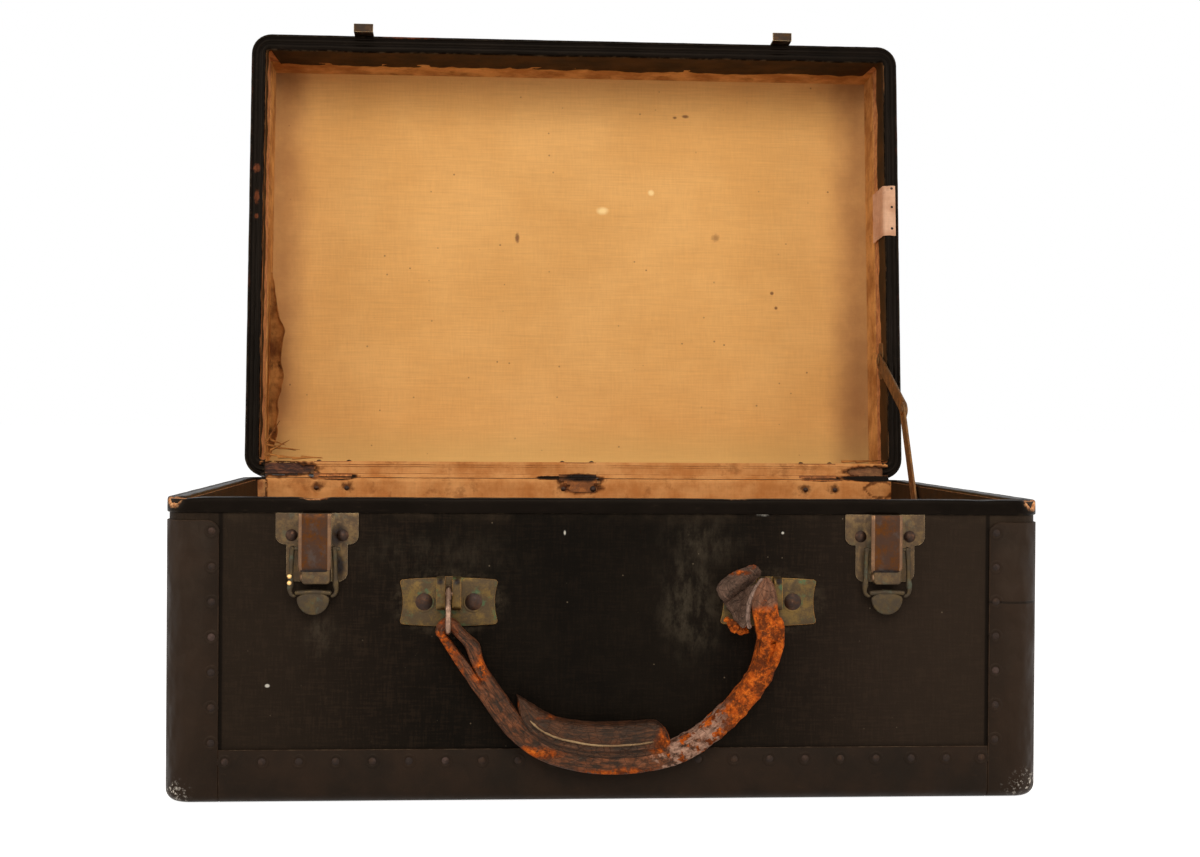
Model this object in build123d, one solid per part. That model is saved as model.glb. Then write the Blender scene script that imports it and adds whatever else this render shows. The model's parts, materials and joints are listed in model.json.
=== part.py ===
from build123d import *
import os
from math import acos, atan2, cos, degrees, hypot, pi, radians, sin

os.makedirs("parts", exist_ok=True)

# A hard travelling case, open. Millimetres, X to the right, Y to the back, Z up.
# The origin is the centre of the underside. The lid is drawn closed and then turned open.

# The two boxes
case_width = 457.0
case_depth = 310.0
base_height = 157.0
lid_depth = 73.5
corner_radius = 14.0
edge_radius = 6.0
rim_gap = 0.6
lid_open_angle = 95.2

# Layers of a wall, from the outside in
binding_t = 1.2
cover_t = 0.8
wall_t = 7.4
lining_t = 0.6
floor_board_t = 6.0
panel_board_t = 4.3
inset_cover = binding_t
inset_board = inset_cover + cover_t
inset_inner = inset_board + wall_t
inset_room = inset_inner + lining_t

# Bindings and rims
corner_binding_width = 28.3
corner_binding_clear = 12.0
corner_binding_round = 6.0
edge_binding_height = 27.5
edge_binding_turn = 13.0
rim_cap_t = 1.2
rim_leg = 8.0
rim_return = 16.0
turn_in_height = 34.0
joint_gap = 0.3

# Tacks
tack_radius = 1.9
tack_height = 0.7
tack_pitch = 18.4
tack_inset = 3.6
bottom_tack_height = 21.4

# Hinges: knuckles let into the outer back edge, leaves turned down inside
hinge_inset = 60.5
hinge_width = 26.0
leaf_t = 1.0
leaf_drop = 15.0
knuckle_radius = 2.2
knuckle_middle = 8.4
knuckle_gap = 0.3
hinge_pin_radius = 1.0
pin_clearance = 0.05
hinge_rivet_pitch = 20.5
hinge_rivet_drop = 6.0
hinge_rivet_radius = 2.1
hinge_cloth_t = 0.5
hinge_cloth_drop = 22.0

# Latches
latch_insets = {"left": 78.0, "right": 84.0}
latch_rim_gap = 0.1
latch_plate_width = 42.0
latch_plate_height = 35.0
latch_head_height = 16.0
latch_stem_width = 31.0
latch_plate_t = 1.0
latch_plate_round = 4.5
housing_width = 14.6
housing_height = 36.0
housing_proud = 7.8
housing_wall = 1.0
spring_width = 12.8
spring_height = 30.3
spring_t = 0.8
latch_pivot_drop = 17.9
latch_pivot_proud = 6.0
latch_pin_radius = 1.0
latch_rivet_pitch = 25.9
latch_rivet_drop = 11.4
latch_rivet_radius = 3.1
loop_t = 1.8
loop_reach = 20.5
loop_bar = 4.0
loop_shoulder = 2.0
loop_tab = 13.3
loop_tab_width = 16.4
loop_arm_spread = 10.6
loop_foot_spread = 10.6
loop_arm_width = 2.6
loop_foot_width = 4.2
loop_head_radius = 2.4

# Catches on the lid
catch_plate_width = 38.0
catch_plate_height = 12.6
catch_plate_t = 1.0
catch_width = 13.4
catch_stem_t = 0.8
catch_rim_clear = 0.2
catch_ledge_t = 1.2
catch_ledge_clear = 0.55
catch_lip = 0.3
catch_lip_width = 0.9
catch_rivet_pitch = 26.0
catch_rivet_radius = 2.2

# Rivets
rivet_head = 1.6
rivet_shank_radius = 1.4
rivet_hole_clearance = 0.05

# Handle plates and rings
handle_span = 166.0
handle_plate_width = 51.0
handle_plate_height = 25.0
handle_plate_waist = 1.9
handle_plate_bulge = 1.2
handle_plate_t = 1.5
handle_plate_drop = 53.6
handle_plate_round = 1.6
handle_rivet_pitch = 25.4
handle_rivet_radius = 4.6
saddle_width = 12.4
saddle_slot = 3.8
saddle_proud = 8.8
saddle_height = 17.0
saddle_round = 3.0
ring_pin_rise = 4.6
ring_pin_proud = 6.0
ring_pin_radius = 1.2
ring_wire_radius = 1.4
ring_eye_clearance = 0.2
ring_drop = 18.4
ring_knee = 6.0
ring_reach = 15.0
ring_round = 2.5

# Handle leather
handle_drop = 67.1
strap_t = 12.0
strap_width = 11.5
strap_round = 2.5
strap_eye_clearance = 0.9
strap_split_length = 29.0
grip_t = 13.0
grip_width = 16.0
grip_round = 2.2
grip_tip = 5.2
grip_corner = 2.4
grip_start = 62.0
grip_length = 84.0
grip_taper = 24.0
wrap_t = 5.0
wrap_width = 24.0
wrap_height = 21.0
wrap_pin_clear = 3.0
wrap_ear_gap = 0.4

# Where the strap's middle line hangs, from ring to ring: shares of half the span and of the drop
strap_line = [
    (-1.0, 0.0), (-0.883, -0.221), (-0.740, -0.477), (-0.566, -0.754), (-0.361, -0.921),
    (-0.058, -1.0), (0.257, -0.976), (0.495, -0.875), (0.723, -0.657), (0.904, -0.393),
    (0.988, -0.143), (1.0, 0.0),
]

# The torn end's outline, from its corner beside the ears: shares of its width and of its height
wrap_outline = [
    (0.0, 0.0), (-0.86, 0.0), (-0.90, -0.28), (-0.78, -0.62), (-0.50, -0.94),
    (0.0, -1.0), (0.10, -0.75), (0.0, -0.50),
]

# Stay inside the right wall: places from the hinge line, lid open
stay_lid_up = 85.2
stay_lid_in = 16.5
stay_base_forward = 104.0
stay_base_below = 40.0
stay_knee_forward = 52.9
stay_knee_above = 48.0
stay_link_width = 11.0
stay_link_t = 1.2
stay_gap = 0.3
stay_plate_t = 0.8
stay_plate_width = 13.0
stay_plate_length = 26.0
stay_pin_radius = 1.6
stay_head_radius = 3.4
stay_head_t = 0.7
stay_wall_clear = 0.3

# Patch pasted on the lid's right wall
patch_t = 0.4
patch_from = 173.0
patch_to = 209.0
patch_rim_clear = 3.0
patch_width = 30.0

# Places worked out from the sizes above
half_w = case_width / 2
half_d = case_depth / 2
inner_x, inner_y = half_w - inset_inner, half_d - inset_inner
room_x, room_y = half_w - inset_room, half_d - inset_room
board_top = base_height - rim_cap_t
floor_top = inset_board + floor_board_t
lid_rim = base_height + rim_gap
lid_board_rim = lid_rim + rim_cap_t
lid_top = lid_rim + lid_depth
lid_roof = lid_top - inset_board - panel_board_t
face_y = -half_d + inset_cover
hinge_y, hinge_z = half_d, base_height + rim_gap / 2
hinge_axis = Axis((0, hinge_y, hinge_z), (1, 0, 0))
hinge_places = [hinge_inset - half_w, 0.0, half_w - hinge_inset]
corner_binding_height = base_height - corner_binding_clear
latch_places = {"left": latch_insets["left"] - half_w, "right": half_w - latch_insets["right"]}
latch_plate_top = base_height - rim_leg - latch_rim_gap
latch_stem_bottom = latch_plate_top - latch_plate_height
housing_bottom = latch_plate_top - housing_height
latch_pivot_height = latch_plate_top - latch_pivot_drop
latch_rivet_height = latch_plate_top - latch_rivet_drop
handle_plate_middle = base_height - handle_plate_drop
ring_pin_z = handle_plate_middle + ring_pin_rise
ring_bar_z = ring_pin_z - ring_drop
ring_bend = ring_pin_radius + ring_eye_clearance + ring_wire_radius
handle_y = face_y - ring_pin_proud + ring_bend - ring_reach / 2
past = 5.0


# Plain helpers

def slab(x0, x1, y0, y1, z0, z1):
    """A box between two corners."""
    size = Box(x1 - x0, y1 - y0, z1 - z0)
    return Pos((x0 + x1) / 2, (y0 + y1) / 2, (z0 + z1) / 2) * size


def group(pieces):
    """Separate solids kept together as one sub-part."""
    return Compound(children=[solid for piece in pieces for solid in piece.solids()])


def save(name, shape):
    """Writes one sub-part, as a lone solid or a group of them."""
    solids = shape.solids()
    export_step(solids[0] if len(solids) == 1 else Compound(children=solids), f"parts/{name}.step")
    return shape


def dome(radius, height):
    """A domed head on the plane z = 0."""
    ball = (radius ** 2 + height ** 2) / (2 * height)
    cap = Pos(0, 0, height - ball) * Sphere(ball)
    return cap & Pos(0, 0, height / 2) * Cylinder(radius + past, height)


def rivet(radius, shank):
    """A domed head on the plane z = 0 with its shank below."""
    stem = Pos(0, 0, -shank / 2) * Cylinder(rivet_shank_radius, shank)
    return dome(radius, rivet_head) + stem


def facing(x, y, z, direction):
    """A place whose own Z looks along a direction."""
    return Plane(origin=(x, y, z), z_dir=direction).location


def rod(radius, x0, x1, y, z):
    """A round bar along X."""
    return Pos((x0 + x1) / 2, y, z) * Rot(0, 90, 0) * Cylinder(radius, x1 - x0)


def drilled(shape, holes):
    """Cuts a list of holes."""
    for hole in holes:
        shape = shape - hole
    return shape


def to_lid(shape):
    """Turns something drawn with its closed end down into the closed lid."""
    return Pos(0, 0, lid_top) * mirror(shape, about=Plane.XY)


def opened(shape):
    """Turns a piece of the closed lid to the open pose."""
    return shape.rotate(hinge_axis, -lid_open_angle)


def profile(points, y0, y1):
    """A closed outline in X and Z, as thick as from y0 to y1."""
    face = make_face(Polyline([(x, 0, z) for x, z in points], close=True))
    return Pos(0, y0, 0) * extrude(face, y1 - y0, dir=(0, 1, 0))


# The two boxes

def block(inset, height):
    """The outer form drawn in by an inset, with its closed end down."""
    outline = RectangleRounded(case_width - 2 * inset, case_depth - 2 * inset, corner_radius - inset)
    solid = Pos(0, 0, inset) * extrude(outline, height - inset)
    return fillet(solid.faces().sort_by(Axis.Z)[0].edges(), edge_radius - inset)


def boards(height, closed_t):
    """The bottom board and the four walls nailed on it."""
    whole = block(inset_board, height)
    seat = inset_board + closed_t
    far = case_width
    walls = whole - slab(-inner_x, inner_x, -inner_y, inner_y, 0, height + past)
    walls = walls - slab(-far, far, -far, far, 0, seat)
    return {
        "closed": whole & slab(-far, far, -far, far, 0, seat),
        "front": walls & slab(-far, far, -far, -inner_y, 0, height),
        "back": walls & slab(-far, far, inner_y, far, 0, height),
        "left": walls & slab(-far, 0, -inner_y, inner_y, 0, height),
        "right": walls & slab(0, far, -inner_y, inner_y, 0, height),
    }


def cover(height):
    """The cloth over the outside."""
    return block(inset_cover, height) - block(inset_board, height + past)


def binding_shell(height):
    """The bindings' layer over walls and edges, open under the middle."""
    shell = block(0, height) - block(binding_t, height + past)
    turn_x, turn_y = half_w - edge_binding_turn, half_d - edge_binding_turn
    return shell - slab(-turn_x, turn_x, -turn_y, turn_y, -past, binding_t)


def corner_bindings(height):
    """Four fibre corners, rounded where they end."""
    shell = binding_shell(height)
    edge_x, edge_y = half_w - corner_binding_width, half_d - corner_binding_width
    wide, deep, tall = half_w + 2 * past - edge_x, half_d + 2 * past - edge_y, height + 2 * past
    pieces = []
    for side_x in (-1, 1):
        for side_y in (-1, 1):
            front = Plane.XZ * RectangleRounded(wide, tall, corner_binding_round)
            side = Plane.YZ * RectangleRounded(deep, tall, corner_binding_round)
            middle_z = height - tall / 2
            keep_x = Pos(side_x * (edge_x + wide / 2), 0, middle_z) * extrude(front, half_d + past, both=True)
            keep_y = Pos(0, side_y * (edge_y + deep / 2), middle_z) * extrude(side, half_w + past, both=True)
            pieces.append(shell & keep_x & keep_y)
    return group(pieces)


def edge_bindings():
    """Four fibre strips round the edges of the closed end, between the corners."""
    shell = binding_shell(edge_binding_height)
    edge_x = half_w - corner_binding_width - joint_gap
    edge_y = half_d - corner_binding_width - joint_gap
    far = case_width
    return group([
        shell & slab(-edge_x, edge_x, -far, 0, -past, far),
        shell & slab(-edge_x, edge_x, 0, far, -past, far),
        shell & slab(-far, 0, -edge_y, edge_y, -past, far),
        shell & slab(0, far, -edge_y, edge_y, -past, far),
    ])


def underside_sheet():
    """A sheet pasted between the turned-under bindings, flush with them."""
    turn_x = half_w - edge_binding_turn - joint_gap
    turn_y = half_d - edge_binding_turn - joint_gap
    return slab(-turn_x, turn_x, -turn_y, turn_y, 0, binding_t)


def rim_strip(height):
    """The strip over the rim on the front and sides, with short returns at the back."""
    cap = block(0, height) & slab(-half_w, half_w, -half_d, half_d, height - rim_cap_t, height)
    leg = block(0, height) - block(inset_cover, height + past)
    leg = leg & slab(-half_w, half_w, -half_d, half_d, height - rim_leg, height)
    strip = cap + leg - slab(-room_x, room_x, -room_y, room_y, 0, height + past)
    return strip - slab(rim_return - half_w, half_w - rim_return, room_y - past, half_d + past, 0, height + past)


def wall_ring(low, high):
    """The lining's layer round the inside."""
    outer = slab(-inner_x, inner_x, -inner_y, inner_y, low, high)
    return outer - slab(-room_x, room_x, -room_y, room_y, low - past, high + past)


def turn_in(height):
    """Cover cloth turned in over the rim, on the front and sides."""
    top = height - rim_cap_t
    ring = wall_ring(top - turn_in_height, top)
    return ring - slab(-inner_x, inner_x, room_y, inner_y, 0, height)


def hinge_cloth(height):
    """Cloth over the hinge leaves: down the back wall's inside and out over the rim."""
    top = height - rim_cap_t
    edge = half_w - rim_return - joint_gap
    wall = slab(-room_x, room_x, room_y, inner_y, top - hinge_cloth_drop, top)
    over = slab(-edge, edge, room_y, half_d - inset_board, top, top + hinge_cloth_t)
    return wall + over


def closed_lining(seat):
    """Lining of the closed end."""
    return slab(-inner_x, inner_x, -inner_y, inner_y, seat, seat + lining_t)


# Tacks

def spread(length, pitch):
    """Even places along a length, about a pitch apart."""
    count = max(2, round(length / pitch) + 1)
    return [-length / 2 + length * i / (count - 1) for i in range(count)]


def bottom_tacks():
    """Tacks along the four edge bindings."""
    head = dome(tack_radius, tack_height)
    run_x = case_width - 2 * corner_binding_width - 2 * tack_inset
    run_y = case_depth - 2 * corner_binding_width - 2 * tack_inset
    tacks = []
    for x in spread(run_x, tack_pitch):
        for side in (-1, 1):
            tacks.append(facing(x, side * half_d, bottom_tack_height, (0, side, 0)) * head)
    for y in spread(run_y, tack_pitch):
        for side in (-1, 1):
            tacks.append(facing(side * half_w, y, bottom_tack_height, (side, 0, 0)) * head)
    return group(tacks)


def corner_tacks(height):
    """Tacks down both free edges of every corner binding."""
    head = dome(tack_radius, tack_height)
    row_x = half_w - corner_binding_width + tack_inset
    row_y = half_d - corner_binding_width + tack_inset
    low = edge_binding_height + tack_inset
    high = height - tack_inset - tack_radius
    tacks = []
    for z in [(low + high) / 2 + place for place in spread(high - low, tack_pitch)]:
        for side_x in (-1, 1):
            for side_y in (-1, 1):
                tacks.append(facing(side_x * row_x, side_y * half_d, z, (0, side_y, 0)) * head)
                tacks.append(facing(side_x * half_w, side_y * row_y, z, (side_x, 0, 0)) * head)
    return group(tacks)


# Hinges

def leaf(top, up):
    """One leaf on a rim at height top, turned along the back wall's inside. Up is 1 for the lid."""
    half = hinge_width / 2
    rim = slab(-half, half, inner_y - leaf_t, hinge_y, *sorted((top, top - up * leaf_t)))
    wall = slab(-half, half, inner_y - leaf_t, inner_y, *sorted((top - up * leaf_t, top + up * leaf_drop)))
    middle = knuckle_middle / 2
    own, other = (middle, half) if up < 0 else (0, middle)
    knuckles = [(own, other), (-other, -own)] if up < 0 else [(-middle, middle)]
    away = [(-middle - knuckle_gap, middle + knuckle_gap)] if up < 0 else [
        (middle - knuckle_gap, half + past), (-half - past, knuckle_gap - middle)]
    plate = rim + wall
    for x0, x1 in away:
        plate = plate - rod(knuckle_radius + joint_gap, x0, x1, hinge_y, hinge_z)
    plate = plate - slab(-half, half, hinge_y, hinge_y + past, hinge_z - past, hinge_z + past)
    for x0, x1 in knuckles:
        inner_end = knuckle_gap if up < 0 else 0
        plate = plate + rod(knuckle_radius, x0 + (inner_end if x0 > 0 else 0),
                            x1 - (inner_end if x1 < 0 else 0), hinge_y, hinge_z)
    bore = hinge_pin_radius + (pin_clearance if up > 0 else 0)
    plate = plate - rod(bore, -half - past, half + past, hinge_y, hinge_z)
    row = top + up * hinge_rivet_drop
    holes = [facing(side * hinge_rivet_pitch / 2, inner_y, row, (0, 1, 0))
             * Cylinder(rivet_shank_radius + rivet_hole_clearance, 4 * leaf_t) for side in (-1, 1)]
    return drilled(plate, holes)


def hinge_leaves(top, up):
    """Three leaves along the back."""
    piece = leaf(top, up)
    return group([Pos(x, 0, 0) * piece for x in hinge_places])


def hinge_pins():
    """Three pins."""
    half = hinge_width / 2
    return group([rod(hinge_pin_radius, x - half, x + half, hinge_y, hinge_z) for x in hinge_places])


def hinge_rivet_places(top, up):
    """Where the rivets of the leaves sit on the inside of the back wall."""
    row = top + up * hinge_rivet_drop
    return [(x + side * hinge_rivet_pitch / 2, inner_y - leaf_t, row)
            for x in hinge_places for side in (-1, 1)]


def hinge_rivets(top, up):
    """Rivets through the leaves and the back board."""
    piece = rivet(hinge_rivet_radius, leaf_t + wall_t)
    return group([facing(*place, (0, -1, 0)) * piece for place in hinge_rivet_places(top, up)])


def rivet_holes(places, direction, length):
    """Clearance holes for rivets through boards and plates."""
    tool = Cylinder(rivet_shank_radius + rivet_hole_clearance, length)
    return [facing(*place, direction) * tool for place in places]


def hinge_pockets():
    """Room for the knuckles in boards, cover and cloth."""
    half = hinge_width / 2 + joint_gap
    return [rod(knuckle_radius + 2 * joint_gap, x - half, x + half, hinge_y, hinge_z) for x in hinge_places]


def leaf_windows(top, up):
    """Openings in the cloth and lining round the leaves."""
    half = hinge_width / 2 + joint_gap
    low, high = sorted((top - up * 2 * leaf_t, top + up * (leaf_drop + joint_gap)))
    return [slab(x - half, x + half, room_y - past, half_d + past, low, high) for x in hinge_places]


# Latches on the base

def front_point(x, z, proud):
    """A point in front of the cover's face."""
    return (x, face_y - proud, z)


def latch_plate(x):
    """The riveted plate with its raised hollow housing."""
    head = slab(x - latch_plate_width / 2, x + latch_plate_width / 2, face_y - latch_plate_t, face_y,
                latch_plate_top - latch_head_height, latch_plate_top)
    head = fillet(head.edges().filter_by(Axis.Y).group_by(Axis.Z)[0], latch_plate_round)
    stem = slab(x - latch_stem_width / 2, x + latch_stem_width / 2, face_y - latch_plate_t, face_y,
                latch_stem_bottom, latch_plate_top)
    stem = fillet(stem.edges().filter_by(Axis.Y).group_by(Axis.Z)[0], latch_plate_round)
    half = housing_width / 2
    box = slab(x - half, x + half, face_y - housing_proud, face_y, housing_bottom, latch_plate_top)
    box = fillet(box.edges().filter_by(Axis.Y).group_by(Axis.Z)[0], 2 * housing_wall)
    box = fillet(box.faces().sort_by(Axis.Y)[0].edges().filter_by(Axis.Z), housing_wall)
    room = slab(x - half + housing_wall, x + half - housing_wall, face_y - housing_proud + housing_wall, face_y,
                housing_bottom + housing_wall, latch_plate_top - housing_wall)
    plate = head + stem + box - room
    bore = rod(latch_pin_radius, x - past - half, x + past + half, face_y - latch_pivot_proud, latch_pivot_height)
    return drilled(plate - bore, latch_holes(x))


def latch_rivet_places(x):
    """Two rivets beside the housing."""
    return [(x + side * latch_rivet_pitch / 2, face_y - latch_plate_t, latch_rivet_height) for side in (-1, 1)]


def latch_holes(x):
    """Holes for the latch rivets through plate, cover and board."""
    return rivet_holes(latch_rivet_places(x), (0, -1, 0), 4 * wall_t)


def latch_spring(x):
    """The copper-coloured strap on the housing's front, round at its lower end."""
    half = spring_width / 2
    strap = slab(x - half, x + half, face_y - housing_proud - spring_t, face_y - housing_proud,
                 latch_plate_top - spring_height, latch_plate_top)
    return fillet(strap.edges().filter_by(Axis.Y).group_by(Axis.Z)[0], half * 0.6)


def latch_pin(x):
    """The pin that the loop turns on."""
    half = loop_arm_spread + loop_arm_width / 2 + joint_gap
    return rod(latch_pin_radius, x - half, x + half, face_y - latch_pivot_proud, latch_pivot_height)


def latch_loop(x):
    """The loop with its thumb tab, hanging from the pin."""
    pivot = latch_pivot_height
    bar_top = pivot - loop_reach
    bar_low = bar_top - loop_bar
    shoulder = bar_low - loop_shoulder
    tip = bar_top - loop_tab
    tab = loop_tab_width / 2
    arm_out, arm_in = loop_arm_spread + loop_arm_width / 2, loop_arm_spread - loop_arm_width / 2
    foot_out, foot_in = loop_foot_spread + loop_foot_width / 2, loop_foot_spread - loop_foot_width / 2
    outer = Polyline([
        (-tab, 0, shoulder), (-foot_out, 0, bar_low), (-foot_out, 0, bar_top), (-arm_out, 0, pivot),
        (arm_out, 0, pivot), (foot_out, 0, bar_top), (foot_out, 0, bar_low), (tab, 0, shoulder)])
    round_end = ThreePointArc((tab, 0, shoulder), (0, 0, tip), (-tab, 0, shoulder))
    sheet = extrude(make_face(outer + round_end), loop_t / 2, both=True, dir=(0, 1, 0))
    room = profile([(-foot_in, bar_top), (-arm_in, bar_top + loop_bar), (-arm_in, pivot + past),
                    (arm_in, pivot + past), (arm_in, bar_top + loop_bar), (foot_in, bar_top)], -past, past)
    loop = sheet - room
    for side in (-1, 1):
        near, far = sorted((side * arm_in, side * arm_out))
        loop = loop + rod(loop_head_radius, near, far, 0, pivot)
    bore = rod(latch_pin_radius + pin_clearance, -foot_out - past, foot_out + past, 0, pivot)
    return Pos(x, face_y - latch_pivot_proud, 0) * (loop - bore)


# Catches on the lid, drawn with the lid closed

def catch(x):
    """A plate with a hooked tongue that stands over the latch."""
    stem_back = binding_t + catch_rim_clear
    stem_front = stem_back + catch_stem_t
    ledge = latch_pivot_height + loop_reach - catch_ledge_clear
    tip = latch_pivot_proud + catch_lip_width + catch_lip
    low = lid_rim + rim_leg + joint_gap
    plate_low = low + stem_back
    plate_high = plate_low + catch_plate_height
    outline = [
        (0, plate_high), (catch_plate_t, plate_high), (catch_plate_t, plate_low + 2.0), (stem_front, low + 1.2),
        (stem_front, ledge), (tip - catch_lip_width, ledge), (tip - catch_lip_width, ledge + catch_lip),
        (tip, ledge + catch_lip), (tip, ledge - catch_ledge_t), (stem_back, ledge - catch_ledge_t),
        (stem_back, low), (0, plate_low)]
    face = make_face(Polyline([(0, face_y - proud, z) for proud, z in outline], close=True))
    tongue = Pos(x, 0, 0) * extrude(face, catch_width / 2, both=True, dir=(1, 0, 0))
    half = catch_plate_width / 2
    plate = slab(x - half, x + half, face_y - catch_plate_t, face_y, plate_low, plate_high)
    plate = fillet(plate.edges().filter_by(Axis.Y), 2 * catch_plate_t)
    return drilled(plate + tongue, catch_holes(x))


def catch_rivet_places(x):
    """Two rivets beside the tongue."""
    z = lid_rim + rim_leg + joint_gap + binding_t + catch_rim_clear + catch_plate_height / 2
    return [(x + side * catch_rivet_pitch / 2, face_y - catch_plate_t, z) for side in (-1, 1)]


def catch_holes(x):
    """Holes for the catch rivets through plate, cover and board."""
    return rivet_holes(catch_rivet_places(x), (0, -1, 0), 4 * wall_t)


# Handle

def handle_plate(x):
    """A waisted plate with two ears that hold the ring's pin."""
    half, tall = handle_plate_width / 2, handle_plate_height / 2
    corner = tall - handle_plate_bulge
    outline = [
        ThreePointArc((-half, 0, -corner), (handle_plate_waist - half, 0, 0), (-half, 0, corner)),
        ThreePointArc((-half, 0, corner), (0, 0, tall), (half, 0, corner)),
        ThreePointArc((half, 0, corner), (half - handle_plate_waist, 0, 0), (half, 0, -corner)),
        ThreePointArc((half, 0, -corner), (0, 0, -tall), (-half, 0, -corner)),
    ]
    plate = extrude(make_face(outline), handle_plate_t, dir=(0, -1, 0))
    plate = fillet(plate.edges().filter_by(Axis.Y), handle_plate_round)
    ears = slab(-saddle_width / 2, saddle_width / 2, -saddle_proud, 0, -saddle_height / 2, saddle_height / 2)
    ears = fillet(ears.faces().sort_by(Axis.Y)[0].edges().filter_by(Axis.X), saddle_round)
    slot = slab(-saddle_slot / 2, saddle_slot / 2, -saddle_proud - past, -handle_plate_t, -tall - past, tall + past)
    bore = rod(ring_pin_radius, -saddle_width, saddle_width, -ring_pin_proud, 0)
    ears = Pos(0, 0, ring_pin_rise) * (ears - bore)
    plate = Pos(x, face_y, handle_plate_middle) * (plate + ears - slot)
    return drilled(plate, handle_holes(x))


def handle_rivet_places(x):
    """Two rivets beside the ears."""
    return [(x + side * handle_rivet_pitch / 2, face_y - handle_plate_t, handle_plate_middle) for side in (-1, 1)]


def handle_holes(x):
    """Holes for the plate's rivets through plate, cover and board."""
    return rivet_holes(handle_rivet_places(x), (0, -1, 0), 4 * wall_t)


def ring_pin(x):
    """The pin across the ears."""
    half = saddle_width / 2
    return rod(ring_pin_radius, x - half, x + half, face_y - ring_pin_proud, ring_pin_z)


def handle_ring(x):
    """A closed wire ring: round the pin, down behind, along under the strap and up in front."""
    bend = ring_bend
    knee = (bend - ring_reach, -ring_knee)
    turn = atan2(knee[1], knee[0]) % (2 * pi) - acos(bend / hypot(*knee))
    leave = (0, bend * cos(turn), bend * sin(turn))
    top = ThreePointArc((0, bend, 0), (0, bend * cos(turn / 2), bend * sin(turn / 2)), leave)
    rest = FilletPolyline([leave, (0, *knee), (0, knee[0], -ring_drop), (0, bend, -ring_drop), (0, bend, 0)],
                          radius=ring_round)
    path = Wire([top, *rest.edges()])
    wire = sweep(Plane(origin=path @ 0, z_dir=path % 0) * Circle(ring_wire_radius), path=path)
    return Pos(x, face_y - ring_pin_proud, ring_pin_z) * wire


def strap_path():
    """The middle line of the strap, in X and Z."""
    return Spline([(share_x * handle_span / 2, 0, ring_bar_z + share_z * handle_drop)
                   for share_x, share_z in strap_line])


def beside(path, place, aside):
    """A point beside a line in X and Z, on its left hand going along it."""
    point, way = path @ place, path % place
    return (point.X - way.Z * aside, 0, point.Z + way.X * aside)


def thick(face, depth):
    """A face in X and Z given its depth, half to each side, in the handle's plane."""
    return Pos(0, handle_y, 0) * extrude(face, depth / 2, both=True, dir=(0, 1, 0))


def rounded_rims(solid, radius):
    """Rounds the front and back outlines."""
    ends = solid.faces().sort_by(Axis.Y)
    return fillet(ends[0].outer_wire().edges() + ends[-1].outer_wire().edges(), radius)


def strap_band(path, width, depth):
    """The strap's flat band, with round ends."""
    face = trace(Plane.XZ.to_local_coords(path), width)
    for end in (path @ 0, path @ 1):
        face = face + Pos(end.X, end.Z) * Circle(width / 2)
    return thick(Plane.XZ * face, depth)


def eye_hole(path, end, along):
    """The gap round the ring's bar, drawn out to a point where the strap's two layers meet."""
    start, goal = path @ end, path @ along
    angle = degrees(atan2(goal.Z - start.Z, goal.X - start.X))
    length = hypot(goal.X - start.X, goal.Z - start.Z)
    big = ring_wire_radius + strap_eye_clearance
    wedge = make_hull(Circle(big).edges() + (Pos(length, 0) * Circle(big / 4)).edges())
    placed = Pos(start.X, start.Z) * Rot(0, 0, angle) * wedge
    return thick(Plane.XZ * placed, 2 * strap_width)


def handle_strap(path):
    """The doubled leather strap with an eye at each end."""
    strap = rounded_rims(strap_band(path, strap_t, strap_width), strap_round)
    split = strap_split_length / path.length
    return strap - eye_hole(path, 0, split) - eye_hole(path, 1, 1 - split)


def handle_grip(path):
    """The folded leather roll above the strap: pointed at its left end, round at its right."""
    under = strap_t / 2 + joint_gap
    first = grip_start / path.length
    last = (grip_start + grip_length) / path.length
    full = first + grip_taper / path.length
    low = Spline([beside(path, first + (last - first) * i / 6, under) for i in range(7)])
    high_places = [first + (full - first) / 2] + [full + (last - full) * i / 4 for i in range(4)]
    high_sides = [under + (grip_tip + grip_t) / 2] + [under + grip_t] * 4
    tip = beside(path, first, under + grip_tip)
    end = beside(path, last, under + grip_t - grip_round)
    high = Spline([tip, *[beside(path, *pair) for pair in zip(high_places, high_sides)], end])
    face = make_face([low, Line(low @ 1, end), high, Line(tip, low @ 0)])
    return rounded_rims(thick(fillet(face.vertices(), grip_corner), grip_width), grip_round)


def handle_wrap(path):
    """Torn leather in front of the right plate, beside the ears and clear of them as the handle lifts."""
    edge, top = (path @ 1).X - saddle_width / 2 - wrap_ear_gap, ring_pin_z - wrap_pin_clear
    points = [(edge + x * wrap_width, 0, top + z * wrap_height) for x, z in wrap_outline]
    flap = thick(make_face(Polyline(points, close=True)), wrap_t)
    return flap - strap_band(path, strap_t + 2 * joint_gap, 2 * strap_width)


# Stay: an upper link on the lid and a lower link on the base, opened at the knee

stay_plate_face = room_x
stay_upper_face = stay_plate_face - stay_plate_t - stay_wall_clear
stay_lower_face = stay_upper_face - stay_link_t - stay_gap
stay_base = (hinge_y - stay_base_forward, hinge_z - stay_base_below)
stay_knee = (hinge_y - stay_knee_forward, hinge_z + stay_knee_above)
stay_lean = radians(lid_open_angle - 90)
stay_lid = (hinge_y + stay_lid_up * sin(stay_lean) + stay_lid_in * cos(stay_lean),
            hinge_z + stay_lid_up * cos(stay_lean) - stay_lid_in * sin(stay_lean))


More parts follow.
